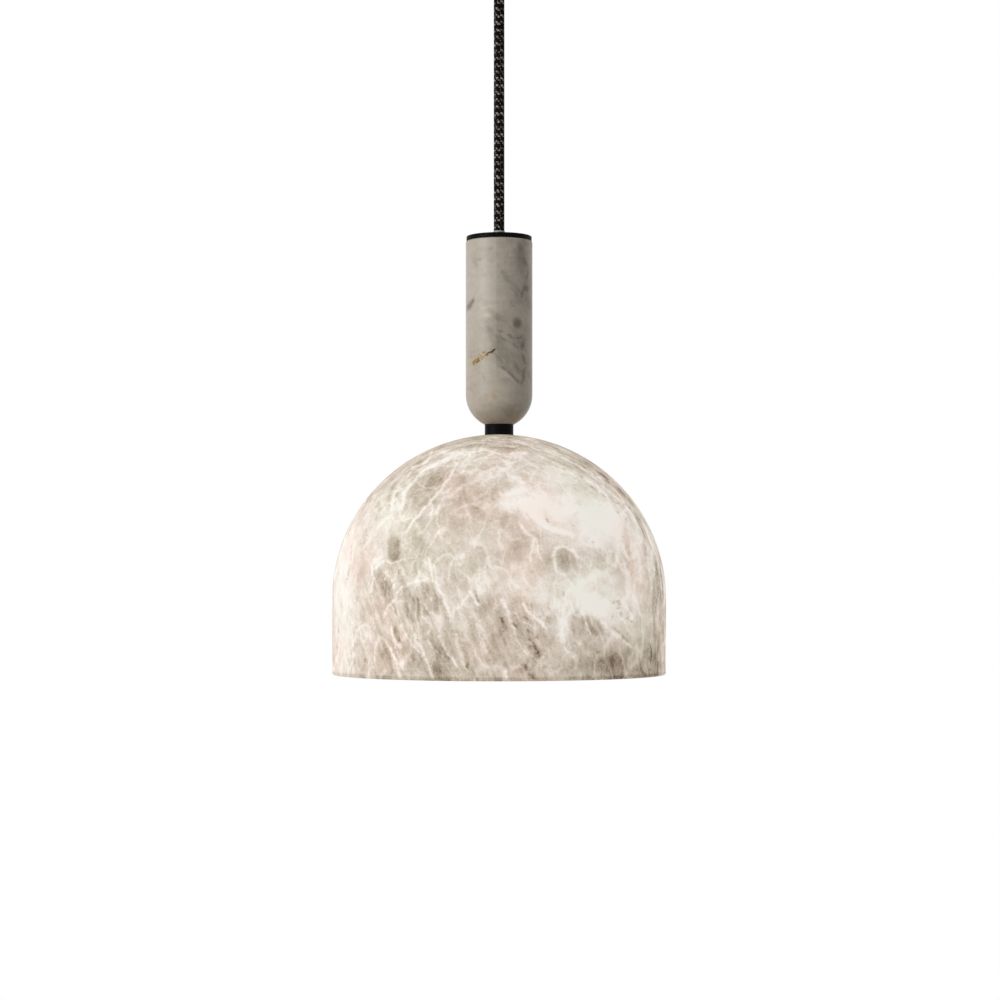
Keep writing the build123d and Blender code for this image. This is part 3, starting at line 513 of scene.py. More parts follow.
dome_patches = [
    # broad light
    (342, 590, 24, 130, 0, 0.36), (386, 522, 24, 34, -22, 0.24), (366, 545, 20, 40, -14, 0.14),
    (364, 634, 24, 26, 0, 0.10), (520, 502, 32, 18, 0, 0.28), (566, 508, 66, 40, 18, 0.39),
    (606, 522, 30, 30, 0, 0.36), (566, 474, 46, 12, 10, 0.10), (591, 605, 15, 36, -54, 0.30),
    (562, 622, 10, 24, 0, 0.24), (637, 546, 8, 40, -6, 0.22), (497, 505, 14, 12, 0, 0.12),
    (604, 604, 46, 28, 0, 0.32), (544, 594, 30, 22, 0, 0.26), (513, 582, 24, 19, 0, 0.24),
    (604, 540, 44, 44, 0, 0.18), (634, 605, 18, 42, 0, 0.10), (585, 582, 44, 20, 10, 0.20),
    (470, 540, 50, 26, -10, 0.03), (563, 622, 18, 30, 0, 0.16),
    # broad dark: darker stone, and painted shade where the glow falls off at the crown and down the right side
    (470, 672, 130, 50, 0, -0.19), (622, 668, 64, 36, 0, -0.42), (658, 640, 22, 80, 0, -0.30),
    (660, 580, 14, 60, 0, -0.14), (496, 634, 36, 40, -15, -0.09), (500, 438, 96, 15, 0, -0.27),
    (418, 462, 60, 13, -36, -0.22), (586, 462, 62, 13, 34, -0.24), (417, 603, 40, 46, -12, -0.12),
    (440, 650, 40, 44, -20, -0.06), (465, 496, 34, 40, -15, -0.15), (605, 560, 34, 26, 0, -0.05),
    (530, 640, 34, 44, -20, -0.08), (588, 648, 30, 22, 20, -0.10),
    # small
    (414, 474, 6, 11, 28, -0.22), (455, 468, 7, 8, 30, -0.12), (488, 453, 8, 4, -20, -0.16),
    (505, 449, 14, 5, 0, -0.16), (464, 478, 6, 12, -12, -0.14), (474, 507, 8, 14, -42, -0.15),
    (461, 524, 7, 8, 0, -0.13), (459, 508, 4, 8, 0, -0.12), (493, 518, 5, 4, 0, -0.18),
    (507, 521, 14, 13, 0, -0.17), (521, 547, 16, 15, -30, -0.13), (500, 484, 12, 9, 0, -0.08),
    (385, 583, 5, 18, -20, -0.13), (417, 570, 8, 12, 0, -0.10), (414, 540, 20, 24, 0, -0.10),
    (497, 584, 4, 5, 0, -0.12), (492, 600, 6, 10, 0, -0.13), (501, 622, 6, 22, -10, -0.12),
    (516, 602, 6, 6, 0, -0.12), (552, 643, 5, 9, 0, -0.17), (536, 650, 10, 15, -35, -0.17),
    (522, 628, 12, 10, -40, -0.12), (546, 636, 3, 3, 0, -0.15), (546, 667, 3, 3, 0, -0.22),
    (566, 559, 14, 14, 0, -0.17), (549, 560, 6, 16, 0, -0.14), (556, 579, 8, 6, 0, -0.20),
    (641, 520, 6, 30, -14, -0.12), (636, 626, 4, 6, 0, -0.14), (630, 611, 6, 6, -35, -0.24),
    (645, 605, 6, 12, 0, -0.10), (606, 660, 30, 14, 0, -0.18), (565, 664, 12, 12, 0, -0.10),
    (434, 634, 10, 14, -20, -0.10), (440, 652, 7, 14, -35, -0.14), (434, 666, 7, 14, -20, -0.12),
    (596, 465, 26, 5, 33, -0.12), (625, 495, 16, 5, 46, -0.20), (390, 480, 14, 5, -48, -0.10),
    (600, 515, 16, 16, 0, 0.16),
]
dome_slabs = [
    (428, 489, 19, 26, 28, -0.19), (394, 549, 8, 17, 0, -0.32), (380, 582, 7, 18, -12, -0.19),
    (390, 590, 5, 14, -12, -0.16), (412, 605, 9.5, 23, -8, -0.17), (431, 598, 9, 19, -18, -0.12),
    (397, 635, 3.6, 11, -10, -0.24), (387, 664, 7.5, 21, -3, -0.18), (578, 624, 8, 17, -4, -0.26),
    (593, 624, 8, 17, -36, -0.28), (566, 558, 12, 12, 0, -0.10),
]


def painted(n, flat, rows, place_of, steepness=None, total=0.0):
    """total with a list of patches added. steepness sharpens their edges."""
    for column, row, across, upright, lean, amount in rows:
        near = oval(n, flat, place_of(column, row), across / pixels_per_metre_on_axis,
                    upright / pixels_per_metre_on_axis, math.radians(lean))
        if steepness:
            near = n.held(n.times(near, steepness))
        total = n.math("MULTIPLY_ADD", near, amount, total)
    return total


def drawn(n, flat, rows, place_of, spread=1.0):
    """The strongest of a list of lines of even width."""
    most = 0.0
    for strength, width, *path in rows:
        points = [(x, 0.0, z) for x, z in (place_of(*pixel) for pixel in path)]
        fall = strength * pixels_per_metre_on_axis / (width * spread)
        for start, end in zip(points, points[1:]):
            node = n.tree.nodes.new("ShaderNodeGroup")
            node.node_tree = stroke_tree
            for socket, value in zip(node.inputs, (most, flat, start, end, strength, fall)):
                n.put(socket, value)
            most = node.outputs[0]
    return most


def flecked(n, flat, rows, place_of, spread=1.0, reach=1.4):
    """The same with a tapered fleck for each stretch of a line."""
    most = 0.0
    for strength, width, *path in rows:
        points = [place_of(*pixel) for pixel in path]
        half_width = width * spread / pixels_per_metre_on_axis
        for (x0, z0), (x1, z1) in zip(points, points[1:]):
            half_length = max(math.hypot(x1 - x0, z1 - z0) / 2 * reach, half_width)
            near = oval(n, flat, ((x0 + x1) / 2, (z0 + z1) / 2), half_width, half_length,
                        math.atan2(x1 - x0, z1 - z0))
            most = n.math("MAXIMUM", most, n.times(near, strength))
    return most


def ramp(n, value, *stops):
    """A colour ramp. Each stop is a place and a colour."""
    node = n.new("ValToRGB", value)
    elements = node.color_ramp.elements
    for element, (place, colour) in zip(elements, (stops[0], stops[-1])):
        element.position, element.color = place, opaque(colour)
    for place, colour in stops[1:-1]:
        elements.new(place).color = opaque(colour)
    return node.outputs[0]


def swing(n, value, amount):
    """A noise value turned into a change either way of about the given amount."""
    return n.fit(value, 0.30, 0.70, -amount, amount, smooth=False)


front_setback = 0.024    # of the marked front's edge, which is further forward at the skirt than on the crown


def dome_marks(n, wavy, flat, front):
    """What the listed marks add to the dome's lightness."""
    rag = n.fit(n.noise(wavy, 520.0, 3.0, 0.6), 0.3, 0.7, -0.30, 0.22, smooth=False)
    lines = n.plus(drawn(n, flat, dome_veins, on_dome, 1.5), rag)
    light = n.times(n.plus(n.fit(lines, 0.15, 0.95, 0.0, 0.33), n.fit(lines, -0.6, 0.5, 0.0, 0.05)), front)
    cracks = n.math("SUBTRACT", flecked(n, flat, dome_cracks, on_dome, 1.5), rag)
    dark = n.times(n.fit(cracks, 0.10, 0.75, 0.0, -0.26), front)
    marks = painted(n, flat, dome_patches, on_dome)
    marks = painted(n, flat, dome_slabs, on_dome, 2.6, marks)
    return n.math("MULTIPLY_ADD", marks, front, n.plus(light, dark))


def natural_veins(n, level, place, wavy, rear):
    """level with veins added: the ridges of three noises, where there is room for them."""
    for scale, squeeze, thin, gain, offset in ((26.0, 0.55, 0.026, 0.25, 2.0), (52.0, 0.50, 0.038, 0.26, 5.0),
                                               (95.0, 0.55, 0.060, 0.20, 8.0)):
        moved = n.vector("ADD", n.stretched(wavy, 1.0, 1.0, squeeze), (offset, 0.0, offset))
        ridge = n.math("ABSOLUTE", n.math("SUBTRACT", n.noise(moved, scale, 2.0, 0.45), 0.5))
        room = n.fit(n.noise(n.vector("ADD", place, (offset, 1.0, 0.0)), 24.0, 2.0), 0.40, 0.58, 0.15, 1.0)
        vein = n.times(n.fit(ridge, 0.0, thin, gain, 0.0), room)
        level = n.plus(level, n.times(vein, n.math("MULTIPLY_ADD", rear, 0.3, 0.7)))
    return level


def dome_colour(n, level, place):
    """The colour of a lightness, a little pinker here and greener there."""
    stone = ramp(n, n.held(level), (0.0, (0.141, 0.102, 0.069)), (0.2, (0.352, 0.283, 0.212)),
                 (0.4, (0.552, 0.474, 0.381)), (0.6, (0.716, 0.631, 0.539)), (0.8, (0.880, 0.800, 0.718)),
                 (1.0, (0.975, 0.930, 0.865)))
    hue = n.noise(n.vector("ADD", place, (1.0, 4.0, 2.0)), 26.0, 3.0)
    pink = n.mix(n.fit(hue, 0.48, 0.66, 0.0, 0.8), grey(1.0), opaque((1.03, 0.955, 0.94)))
    green = n.mix(n.fit(hue, 0.47, 0.34, 0.0, 0.7), grey(1.0), opaque((0.965, 1.0, 0.955)))
    return n.mix(1.0, n.mix(1.0, stone, pink, "MULTIPLY"), green, "MULTIPLY")


def dome_stone():
    """Alabaster lit from inside: cloudy stone with veins, cracks and darker slabs, and streaks that run with
    them. level is its lightness, from 0 to 1."""
    n = Nodes("dome_alabaster")
    place = n.place()
    x, y, z = n.split(place)
    rise = n.held(n.math("MULTIPLY_ADD", z, 1 / dome_crown, -dome_equator / dome_crown))
    plane = n.math("MULTIPLY_ADD", n.times(rise, rise), -front_setback, n.plus(y, front_setback))
    front = n.fit(plane, -0.008, 0.016, 1.0, 0.0)
    rear = n.math("SUBTRACT", 1.0, front)
    wavy = n.shaken(place, 110.0, 0.0034, 3.0)
    fine_wavy = n.shaken(wavy, 430.0, 0.0014, 3.0)
    flat = n.stretched(fine_wavy, 1.0, 0.0, 1.0)
    marks = dome_marks(n, fine_wavy, flat, front)

    # Streaks: leaning ones low on the left, and ones that follow the outline near it
    leaning = n.turned(n.stretched(fine_wavy, 1.0, 0.3, 1.0), (0.0, 24.0, 0.0))
    long_streaks = n.noise(n.stretched(leaning, 1.0, 1.0, 0.16), 330.0, 4.0, 0.62)
    low_left = n.times(n.fit(oval(n, flat, on_dome(440, 640), 0.085, 0.062), 0.0, 0.5), front)
    rings = n.noise(n.stretched(fine_wavy, 0.16, 1.0, 0.16), 330.0, 4.0, 0.66)
    near_edge = n.times(n.fit(y, -0.066, -0.036), n.fit(x, -0.075, -0.045))

    # Clouds, mottle and grit, with the streaks
    clouds = n.noise(n.shaken(place, 38.0, 0.008, 3.0), 17.0, 4.0, 0.55)
    mottle = n.noise(fine_wavy, 120.0, 5.0, 0.66)
    grit = n.noise(place, 800.0, 3.0, 0.62)
    level = n.math("MULTIPLY_ADD", swing(n, clouds, 0.17), n.math("MULTIPLY_ADD", rear, 0.75, 0.25), 0.578)
    level = n.plus(level, swing(n, mottle, 0.142))
    level = n.plus(level, swing(n, grit, 0.075))
    level = n.math("MULTIPLY_ADD", swing(n, long_streaks, 0.15), n.math("MULTIPLY_ADD", low_left, 0.75, 0.25),
                   level)
    level = n.math("MULTIPLY_ADD", swing(n, rings, 0.21), near_edge, level)

    # Veins everywhere, a web of them at the back, and the marks
    level = natural_veins(n, level, place, fine_wavy, rear)
    big = n.cells(n.stretched(n.turned(wavy, (0.0, 0.0, 20.0)), 1.0, 1.0, 0.62), 40.0)
    web = n.times(n.fit(big, 0.0, 0.05, 0.09, 0.0), rear)
    level = n.plus(level, web)
    level = n.plus(level, marks)

    # Painted shade: broken dark streaks down both sides, along the outline seen from the front; and a darker edge
    # along the rim
    edge_shade_breakup = n.fit(n.noise(n.stretched(fine_wavy, 1.0, 1.0, 0.3), 60.0, 3.0), 0.35, 0.55, 0.35, 1.0)
    sides = n.times(n.fit(y, -0.022, -0.010), n.fit(y, 0.002, 0.014, 1.0, 0.0))
    level = n.math("MULTIPLY_ADD", n.times(sides, edge_shade_breakup), -0.20, level)
    level = n.plus(level, n.fit(z, dome_rim + 0.0014, dome_rim + 0.0030, -0.16, 0.0))

    # Painted light: the bulb's light through the stone is given as the stone's own emission. Inside, where the bulb
    # shines on it, there is more
    stone = dome_colour(n, level, place)
    body = n.mix(1.0, stone, grey(0.34), "MULTIPLY")
    side = n.vector("LENGTH", n.join(n.times(x, 1 / dome_radius), n.times(y, 1 / dome_radius), rise))
    painted_bulb_light = n.fit(side, 0.925, 0.965, 0.92, 0.68)
    glow = n.mix(1.0, stone, n.join(painted_bulb_light, painted_bulb_light, painted_bulb_light), "MULTIPLY")
    material = n.surface(Base_Color=body, Emission_Color=glow, Emission_Strength=1.0, Roughness=0.50,
                         Specular_IOR_Level=0.08, Normal=n.bump(mottle, 0.05, 0.0005))
    material.cycles.emission_sampling = "NONE"
    return material


# The stem's marks, in the same forms
stem_dark_lines = [
    (1.0, 1.8, (524, 338), (522, 352), (526, 366), (521, 386)),
    (0.9, 1.3, (497, 365), (508, 371), (521, 384)),
    (0.8, 1.6, (496, 330), (506, 333), (515, 338), (524, 336)),
    (0.7, 1.4, (500, 336), (511, 341), (519, 348)), (0.8, 1.8, (528, 268), (526, 284), (519, 304)),
    (0.6, 1.4, (517, 339), (524, 345), (528, 356)), (0.5, 1.4, (480, 372), (486, 382)),
    (0.5, 2.8, (515, 333), (525, 341)), (0.7, 2.4, (526, 284), (527, 292)),
    (0.6, 3.2, (518, 239), (524, 256)), (0.6, 3.2, (522, 255), (528, 271)),
    (0.35, 1.6, (510, 300), (518, 312)), (0.5, 2.2, (472, 262), (486, 258), (496, 262)),
    (0.4, 1.8, (476, 245), (486, 250), (494, 247)), (0.4, 1.2, (484, 326), (496, 323)),
    (0.4, 1.2, (482, 333), (496, 330)), (0.3, 1.5, (470, 285), (480, 290)),
    (0.4, 1.4, (498, 273), (514, 271)), (0.35, 1.4, (499, 263), (512, 262)),
    (0.35, 1.6, (508, 352), (512, 362)), (0.3, 1.4, (500, 295), (505, 320)),
    (0.35, 1.4, (511, 288), (520, 300)),
]
stem_light_lines = [
    (0.9, 2.2, (480, 309), (496, 306)), (0.8, 1.8, (481, 317), (496, 314)),
    (0.7, 1.8, (497, 366), (520, 386)), (0.4, 1.6, (498, 378), (516, 372)),
    (0.5, 2.0, (469, 270), (478, 273)), (0.35, 2.6, (500, 300), (504, 330)),
    (0.4, 2.4, (468, 250), (474, 272)), (0.4, 1.8, (512, 244), (510, 262)),
    (0.35, 2.6, (486, 272), (492, 290)), (0.4, 2.0, (506, 340), (514, 372)),
]
stem_patches = [
    (470, 305, 3.5, 7, 30, -0.24), (517, 323, 6, 6.5, 0, -0.24), (473, 300, 2.5, 4, 0, -0.12),
    (484, 312, 16, 9, -8, 0.05), (522, 256, 8, 22, 0, -0.10), (526, 288, 5, 8, 0, -0.10),
    (500, 414, 40, 14, 0, -0.08), (480, 290, 16, 22, 0, 0.04), (508, 345, 9, 26, 0, 0.04),
    (484, 252, 14, 10, 0, -0.04),
]
stem_gold = [
    (1.0, 3.6, (473, 365), (478, 360)), (1.0, 3.2, (475, 362), (484, 357)),
    (0.9, 2.2, (482, 358), (490, 354)), (0.9, 1.6, (488, 355), (496, 350)),
    (0.6, 2.4, (478, 356), (487, 352)),
]
stem_gold_dark = [
    (1.0, 1.2, (484, 356), (491, 352)), (1.0, 1.5, (490, 353), (496, 349)),
    (0.6, 1.2, (475, 364), (481, 361)),
]
stem_ochre = [
    (0.6, 3.0, (494, 398), (496, 395)), (0.5, 3.0, (513, 418), (516, 415)),
    (0.4, 2.6, (481, 311), (495, 309)),
]


def stem_stone():
    """Unlit grey-beige alabaster: smoky bands and smears, a golden vein, and a darker right half in front."""
    n = Nodes("stem_alabaster")
    place = n.place()
    x, y, z = n.split(place)
    front = n.fit(y, -0.006, 0.002, 1.0, 0.0)
    wavy = n.shaken(place, 90.0, 0.0030, 3.0)
    fine_wavy = n.shaken(wavy, 380.0, 0.0013, 4.0)
    clouds = n.noise(wavy, 38.0, 4.0, 0.6)
    bands = n.noise(n.stretched(n.turned(fine_wavy, (0.0, 8.0, 0.0)), 0.22, 0.22, 1.0), 210.0, 4.0, 0.62)
    smears = n.noise(n.stretched(n.turned(wavy, (0.0, -52.0, 0.0)), 0.30, 0.30, 1.0), 110.0, 4.0, 0.6)
    mottle = n.noise(fine_wavy, 330.0, 4.0, 0.62)
    level = n.fit(clouds, 0.3, 0.7, 0.475, 0.540)
    level = n.plus(level, swing(n, bands, 0.030))
    level = n.plus(level, n.fit(smears, 0.52, 0.72, 0.0, -0.10))
    level = n.plus(level, swing(n, mottle, 0.030))

    flat = n.stretched(fine_wavy, 1.0, 0.0, 1.0)
    rag = swing(n, n.noise(fine_wavy, 700.0, 3.0, 0.6), 0.25)
    marks = painted(n, flat, stem_patches, on_stem, 1.4)
    shadows = n.plus(flecked(n, flat, stem_dark_lines, on_stem, 1.8), rag)
    shadows = n.fit(shadows, 0.1, 0.8, 0.0, -0.14)
    lights = n.plus(flecked(n, flat, stem_light_lines, on_stem, 1.8), rag)
    lights = n.fit(lights, 0.1, 0.8, 0.0, 0.10)
    marks = n.plus(marks, n.plus(shadows, lights))
    level = n.math("MULTIPLY_ADD", marks, front, level)

    # The break of tone down the front, sharp above and soft at its lower end
    break_x = on_stem(496.3, 300)[0]
    break_end = on_stem(496, 388)[1]
    sharp = n.fit(x, break_x - 0.0004, break_x + 0.0004)
    soft = n.fit(x, break_x - 0.006, break_x + 0.010)
    upper = n.fit(z, break_end, break_end + 0.016)
    half = n.plus(n.times(sharp, upper), n.times(soft, n.math("SUBTRACT", 1.0, upper)))
    level = n.math("MULTIPLY_ADD", n.times(half, front), -0.060, level)

    # Colour, ochre stains and the golden vein with its dark core
    stone = ramp(n, n.held(level), (0.0, (0.060, 0.050, 0.038)), (0.25, (0.185, 0.160, 0.125)),
                 (0.50, (0.440, 0.388, 0.325)), (0.75, (0.62, 0.57, 0.50)), (1.0, (0.80, 0.76, 0.70)))
    ochre = n.times(n.fit(flecked(n, flat, stem_ochre, on_stem, 1.6), 0.0, 0.6, 0.0, 0.55), front)
    stone = n.mix(ochre, stone, opaque((0.40, 0.27, 0.12)))
    gold = n.plus(flecked(n, flat, stem_gold, on_stem, 1.0, 1.5), n.times(rag, 0.7))
    gold = n.times(n.fit(gold, 0.05, 0.60), front)
    tone = n.noise(n.stretched(n.turned(fine_wavy, (0.0, -30.0, 0.0)), 0.5, 1.0, 1.4), 900.0, 3.0, 0.6)
    gilt = n.mix(n.fit(tone, 0.4, 0.6), opaque((0.50, 0.37, 0.16)), opaque((0.22, 0.13, 0.035)))
    stone = n.mix(gold, stone, gilt)
    dark = n.fit(flecked(n, flat, stem_gold_dark, on_stem, 1.0, 1.5), 0.1, 0.6, 0.0, 0.92)
    stone = n.mix(n.times(dark, front), stone, opaque((0.030, 0.014, 0.004)))
    return n.surface(Base_Color=stone, Roughness=0.38, Specular_IOR_Level=0.25,
                     Normal=n.bump(mottle, 0.08, 0.0004))


# ------------------------------------------------------------------ the cord

# The cord hangs straight from the grip's mouth to the gland, and a spline of this order needs a third point
cord_points = [(0.0, 0.0, -0.0370), (0.0, 0.0, -0.1081), (0.0, 0.0, -0.1792)]
route_steps = 48


def spline_points(points):
    """Points along the smooth line that the route's spline makes."""
    curve = bpy.data.curves.new("cord_line", "CURVE")
    curve.dimensions = "3D"
    curve.resolution_u = route_steps
    line = curve.splines.new("NURBS")
    line.points.add(len(points) - 1)
    for point, place in zip(line.points, points):
        point.co = (*place, 1.0)
    line.order_u = 3
    line.use_endpoint_u = True
    holder = bpy.data.objects.new("cord_line", curve)
    mesh = bpy.data.meshes.new_from_object(holder)
    places = [tuple(vertex.co) for vertex in mesh.vertices]
    bpy.data.objects.remove(holder)
    bpy.data.curves.remove(curve)
    bpy.data.meshes.remove(mesh)
    return places


braid_carriers = 12          # each way round
braid_lay = 25.2 * MM        # a yarn's rise in one turn
yarn_half_width = 0.95 * MM
yarn_half_thickness = 0.34 * MM
yarn_sides = 8
yarn_wave = 0.5              # how far a yarn rises and falls, over its half-thickness
yarn_float = 2.2             # how squarely it goes over and under
steps_per_wave = 8           # along one over-and-under
core_shrink = 0.62 * MM      # of the dark core's radius from the braid's
core_sides = 32
core_least = 0.02 * MM       # its radius at a pole
core_top_steps = 5
drawn_in_steps = 8
ball_steps = 12
braid_proud = 0.05 * MM      # of its crowns outside the cord's nominal size
bend_inset = 0.10 * MM       # of the bend's ball inside the cord's outside
bend_reach = 0.94            # of the ball's radius, up and down, that is braided
bend_neck = 0.34             # of the ball's radius, at the ends of its braid
drawn_in_depth = 3.6 * MM    # of the braid's drawn-in stretch under the grip
swing_room = 0.93            # that stretch's radius over its depth, which clears the mouth


def braid_yarn(direction, carrier, top, length, outer_at):
    """One yarn's rings of points: it winds one way, over two and under two of the others. outer_at gives the
    braid's outer radius at a height under its top."""
    turns = length / braid_lay
    start = 2 * math.pi * carrier / braid_carriers
    periods_per_turn = braid_carriers / 2
    steps = max(int(turns * periods_per_turn * steps_per_wave), 2 * steps_per_wave)
    places = []
    for step in range(steps + 1):
        share = step / steps
        angle = start + direction * 2 * math.pi * turns * share
        phase = 2 * math.pi * (periods_per_turn * turns * share + carrier / 2)
        over = math.tanh(yarn_float * math.sin(phase)) / math.tanh(yarn_float) * direction
        reach = (outer_at(length * share) - yarn_half_thickness * (1 + yarn_wave)
                 + yarn_half_thickness * yarn_wave * over)
        places.append(Vector((reach * math.cos(angle), reach * math.sin(angle), -length * share)))
    rings = []
    for step, place in enumerate(places):
        run = places[min(step + 1, steps)] - places[max(step - 1, 0)]
        outward = Vector((place.x, place.y, 0.0)).normalized()
        side = outward.cross(run).normalized()
        outward = run.cross(side).normalized()
        turns_of_ring = [2 * math.pi * corner / yarn_sides for corner in range(yarn_sides)]
        rings.append([top + place + side * (yarn_half_width * math.cos(turn))
                      + outward * (yarn_half_thickness * math.sin(turn)) for turn in turns_of_ring])
    return rings


def drawn_in(depth):
    """The hanging braid's outer radius at a depth under the grip's mouth. It is drawn in there, so that the
    cord clears the mouth when it swings both ways at once."""
    full = cord_diameter / 2 + braid_proud
    ball = cord_diameter / 2 - bend_inset
    return min(full, max(math.sqrt(max(ball ** 2 - depth ** 2, 0.0)), depth * swing_room))


def core_profile(length):
    """The hanging core's rings as radius and height: a round top, the drawn-in stretch and a straight run."""
    top = drawn_in(0.0) - core_shrink
    quarter = [math.pi / 2 * step / core_top_steps for step in range(core_top_steps)]
    rings = [(top * math.sin(angle), top * math.cos(angle)) for angle in quarter]
    depths = [drawn_in_depth * step / drawn_in_steps for step in range(drawn_in_steps + 1)] + [length]
    return rings + [(drawn_in(depth) - core_shrink, -depth) for depth in depths]


def ball_profile(radius):
    """A ball's rings as radius and height, from its top down."""
    half = [math.pi * step / ball_steps for step in range(ball_steps + 1)]
    return [(radius * math.sin(angle), radius * math.cos(angle)) for angle in half]


class Weave:
    """The vertices and faces of one braided piece. Slot 0 is the dark yarn, 1 the flecked one, 2 the core."""

    def __init__(self):
        self.verts, self.faces, self.slots = [], [], []

    def tube(self, rings, slot):
        """Joins rings of equal counts into a closed tube."""
        first, sides = len(self.verts), len(rings[0])
        for ring in rings:
            self.verts.extend(tuple(corner) for corner in ring)
        for level in range(len(rings) - 1):
            for corner in range(sides):
                a = first + level * sides + corner
                b = first + level * sides + (corner + 1) % sides
                self.faces.append((a, b, b + sides, a + sides))
        last = first + (len(rings) - 1) * sides
        self.faces.append(tuple(reversed(range(first, first + sides))))
        self.faces.append(tuple(range(last, last + sides)))
        self.slots += [slot] * (len(self.faces) - len(self.slots))

    def braid(self, top, length, outer_at):
        """Yarns both ways round. Every other one of the first way is flecked."""
        for direction in (1, -1):
            for carrier in range(braid_carriers):
                has_flecks = direction == 1 and carrier % 2 == 0
                self.tube(braid_yarn(direction, carrier, top, length, outer_at), int(has_flecks))

    def core(self, top, profile):
        """A turned solid, from its rings' radii and heights."""
        turns = [-2 * math.pi * side / core_sides for side in range(core_sides)]
        rings = []
        for radius, height in profile:
            reach = max(radius, core_least)
            rings.append([top + Vector((reach * math.cos(turn), reach * math.sin(turn), height))
                          for turn in turns])
        self.tube(rings, 2)

    def piece(self, name, materials):
        mesh = bpy.data.meshes.new(name)
        mesh.from_pydata(self.verts, [], self.faces)
        mesh.polygons.foreach_set("material_index", self.slots)
        mesh.polygons.foreach_set("use_smooth", [True] * len(self.faces))
        for material in materials:
            mesh.materials.append(material)
        shape = bmesh.new()
        shape.from_mesh(mesh)
        bmesh.ops.recalc_face_normals(shape, faces=shape.faces)
        shape.to_mesh(mesh)
        shape.free()
        mesh.update()
        piece = bpy.data.objects.new(name, mesh)
        bpy.context.scene.collection.objects.link(piece)
        return piece


def add_braid(materials):
    """The hanging cord: two sets of yarns wound opposite ways over a dark core."""
    line = spline_points(cord_points)
    top = Vector(line[0])
    length = (Vector(line[0]) - Vector(line[-1])).length
    weave = Weave()
    weave.braid(top, length, drawn_in)
    weave.core(top, core_profile(length))
    braid = weave.piece("cord_braid", materials)
    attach(braid, "cord")
    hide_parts("suspension_cord")


def add_bend(materials):
    """The cord's bend under the grip: the braid drawn into a ball about the point where it swings."""
    centre = (Vector(bend_low) + Vector(bend_high)) / 2
    radius = (bend_high[2] - bend_low[2]) / 2 - bend_inset
    rise = radius * bend_reach
    weave = Weave()
    weave.braid(centre + Vector((0.0, 0.0, rise)), 2 * rise,
                lambda depth: math.sqrt(max(radius ** 2 - (depth - rise) ** 2, (radius * bend_neck) ** 2)))
    weave.core(centre, ball_profile(radius - core_shrink))
    bend = weave.piece("cord_bend_braid", materials)
    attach(bend, "cord_bend")
    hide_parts("cord_bend")


def yarn(name, colour, high):
    """Cotton or rayon yarn: fine fibres along it, flecked where high is lighter than colour. The light flecks
    are partly tracer threads and partly painted highlights on the braid.
    """
    n = Nodes(name)
    place = n.place()
    fibres = n.noise(n.stretched(place, 1.0, 1.0, 0.35), 5200.0, 3.0, 0.6)
    fleck = n.noise(place, 620.0, 3.0, 0.6)
    tone = n.mix(n.fit(fleck, 0.42, 0.62), opaque(colour), opaque(high))
    tone = n.mix(n.fit(fibres, 0.35, 0.65, 0.0, 0.45), tone, grey(0.002))
    return n.surface(Base_Color=tone, Roughness=0.8, Specular_IOR_Level=0.05,
                     Normal=n.bump(fibres, 0.5, 0.0003))


# ------------------------------------------------------------------ dressing

def dress(nodes, material):
    """Gives one material to CAD nodes, in every slot that they have."""
    for name in nodes:
        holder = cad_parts[name]
        if not holder.material_slots:
            holder.data.materials.append(material)
        for place in holder.material_slots:
            place.material = material


add_camera()
add_stage()
add_world(strength=0.45)
add_area("key_light", place=(-2.0, -1.4, 0.4), target=(0.0, 0.0, -0.30), size=(1.2, 1.4), power=38.0)

dress(["dome_shade"], dome_stone())
dress(["stem_stone"], stem_stone())
dress(["canopy_cup", "canopy_screws", "cord_grip_body", "top_cap", "neck_collar", "dome_plate"],
      satin_black("black_metal"))
dress(["cap_gasket", "neck_washer_upper", "neck_washer_lower", "dome_pad"],
      moulded("black_rubber", (0.004, 0.004, 0.004), rough=0.6, shine=0.06))
dress(["ceiling_bracket", "cord_grip_washer", "cord_grip_nut", "cord_grip_set_screw", "terminal_screws",
       "terminal_block_pin", "threaded_tube", "lock_washer", "tube_nut", "holder_set_screw",
       "holder_terminal_screws"], brushed("zinc_steel", (0.56, 0.57, 0.60), rough=0.28))
dress(["earth_screw", "terminal_sleeves", "holder_terminals", "holder_contact", "holder_shell"],
      brushed("brass", (0.74, 0.54, 0.25), rough=0.25))
dress(["terminal_block", "bulb_collar"], moulded("white_plastic", (0.80, 0.80, 0.78), rough=0.38))
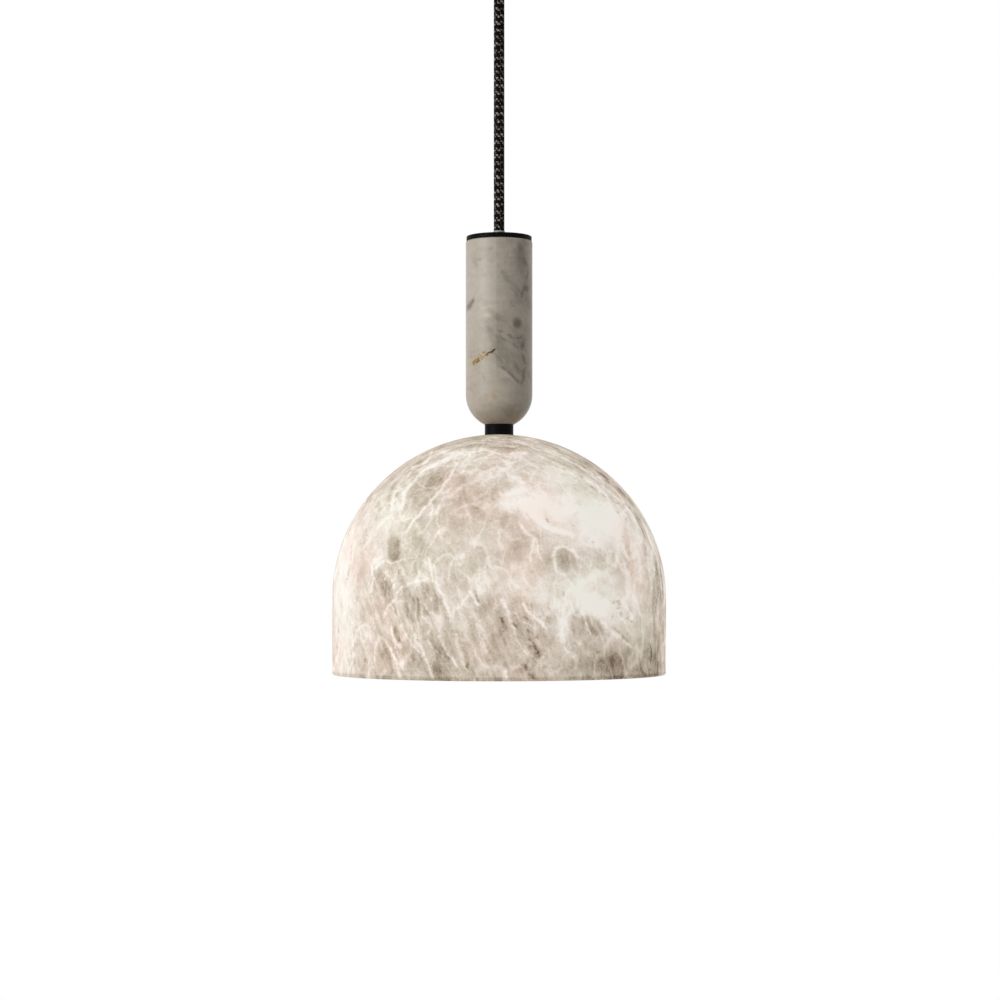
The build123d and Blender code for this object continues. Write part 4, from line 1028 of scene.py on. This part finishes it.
dress(["cord_gland", "centring_bush", "cable_clamp"], moulded("pale_nylon", (0.42, 0.42, 0.41), rough=0.35))
dress(["cable_core"], moulded("cable_sheath", (0.03, 0.03, 0.03), rough=0.45))
dress(["holder_cap", "holder_skirt"],
      moulded("black_phenolic", (0.012, 0.012, 0.013), rough=0.28, grain=0.08))
dress(["holder_insert"], moulded("holder_ceramic", (0.78, 0.76, 0.70), rough=0.55, grain=0.3))
dress(["canopy_lead_brown", "stem_lead_brown"], moulded("brown_wire", (0.16, 0.07, 0.035), rough=0.4))
dress(["canopy_lead_blue", "stem_lead_blue"], moulded("blue_wire", (0.04, 0.13, 0.42), rough=0.4))
dress(["canopy_lead_green", "stem_lead_green"],
      striped_wire("green_wire", (0.10, 0.33, 0.06), stripe=(0.75, 0.65, 0.05)))
dress(["bulb_screw_cap"], brushed("nickel", (0.66, 0.64, 0.60), rough=0.2))
dress(["bulb_insulator"], moulded("dark_glass", (0.02, 0.02, 0.025), rough=0.12, grain=0.05))
dress(["bulb_tip", "bulb_driver_pins"], brushed("solder", (0.62, 0.62, 0.63), rough=0.35))
dress(["bulb_globe"], glowing("opal_glass", (0.80, 0.78, 0.73), glow=(1.0, 0.93, 0.82), strength=1.0))
dress(["bulb_led_board"], moulded("led_board", (0.78, 0.78, 0.76), rough=0.4))
dress(["bulb_leds"], glowing("led_phosphor", (0.80, 0.62, 0.15), glow=(1.0, 0.9, 0.7), strength=1.5))
dress(["bulb_driver_board"], moulded("driver_board", (0.03, 0.16, 0.07), rough=0.35))
black_yarn = yarn("black_yarn", (0.003, 0.003, 0.002), (0.007, 0.006, 0.005))
# its light flecks are partly tracer threads and partly painted highlights on the braid
tracer_and_sheen_yarn = yarn("tracer_and_sheen_yarn", (0.013, 0.012, 0.010), (0.52, 0.48, 0.41))
core_yarn = yarn("core_yarn", (0.002, 0.002, 0.002), (0.004, 0.004, 0.004))
dress(["cord_held_end", "cord_bend", "suspension_cord"], black_yarn)
add_braid([black_yarn, tracer_and_sheen_yarn, core_yarn])
add_bend([black_yarn, tracer_and_sheen_yarn, core_yarn])

bpy.context.scene.view_settings.view_transform = "Standard"
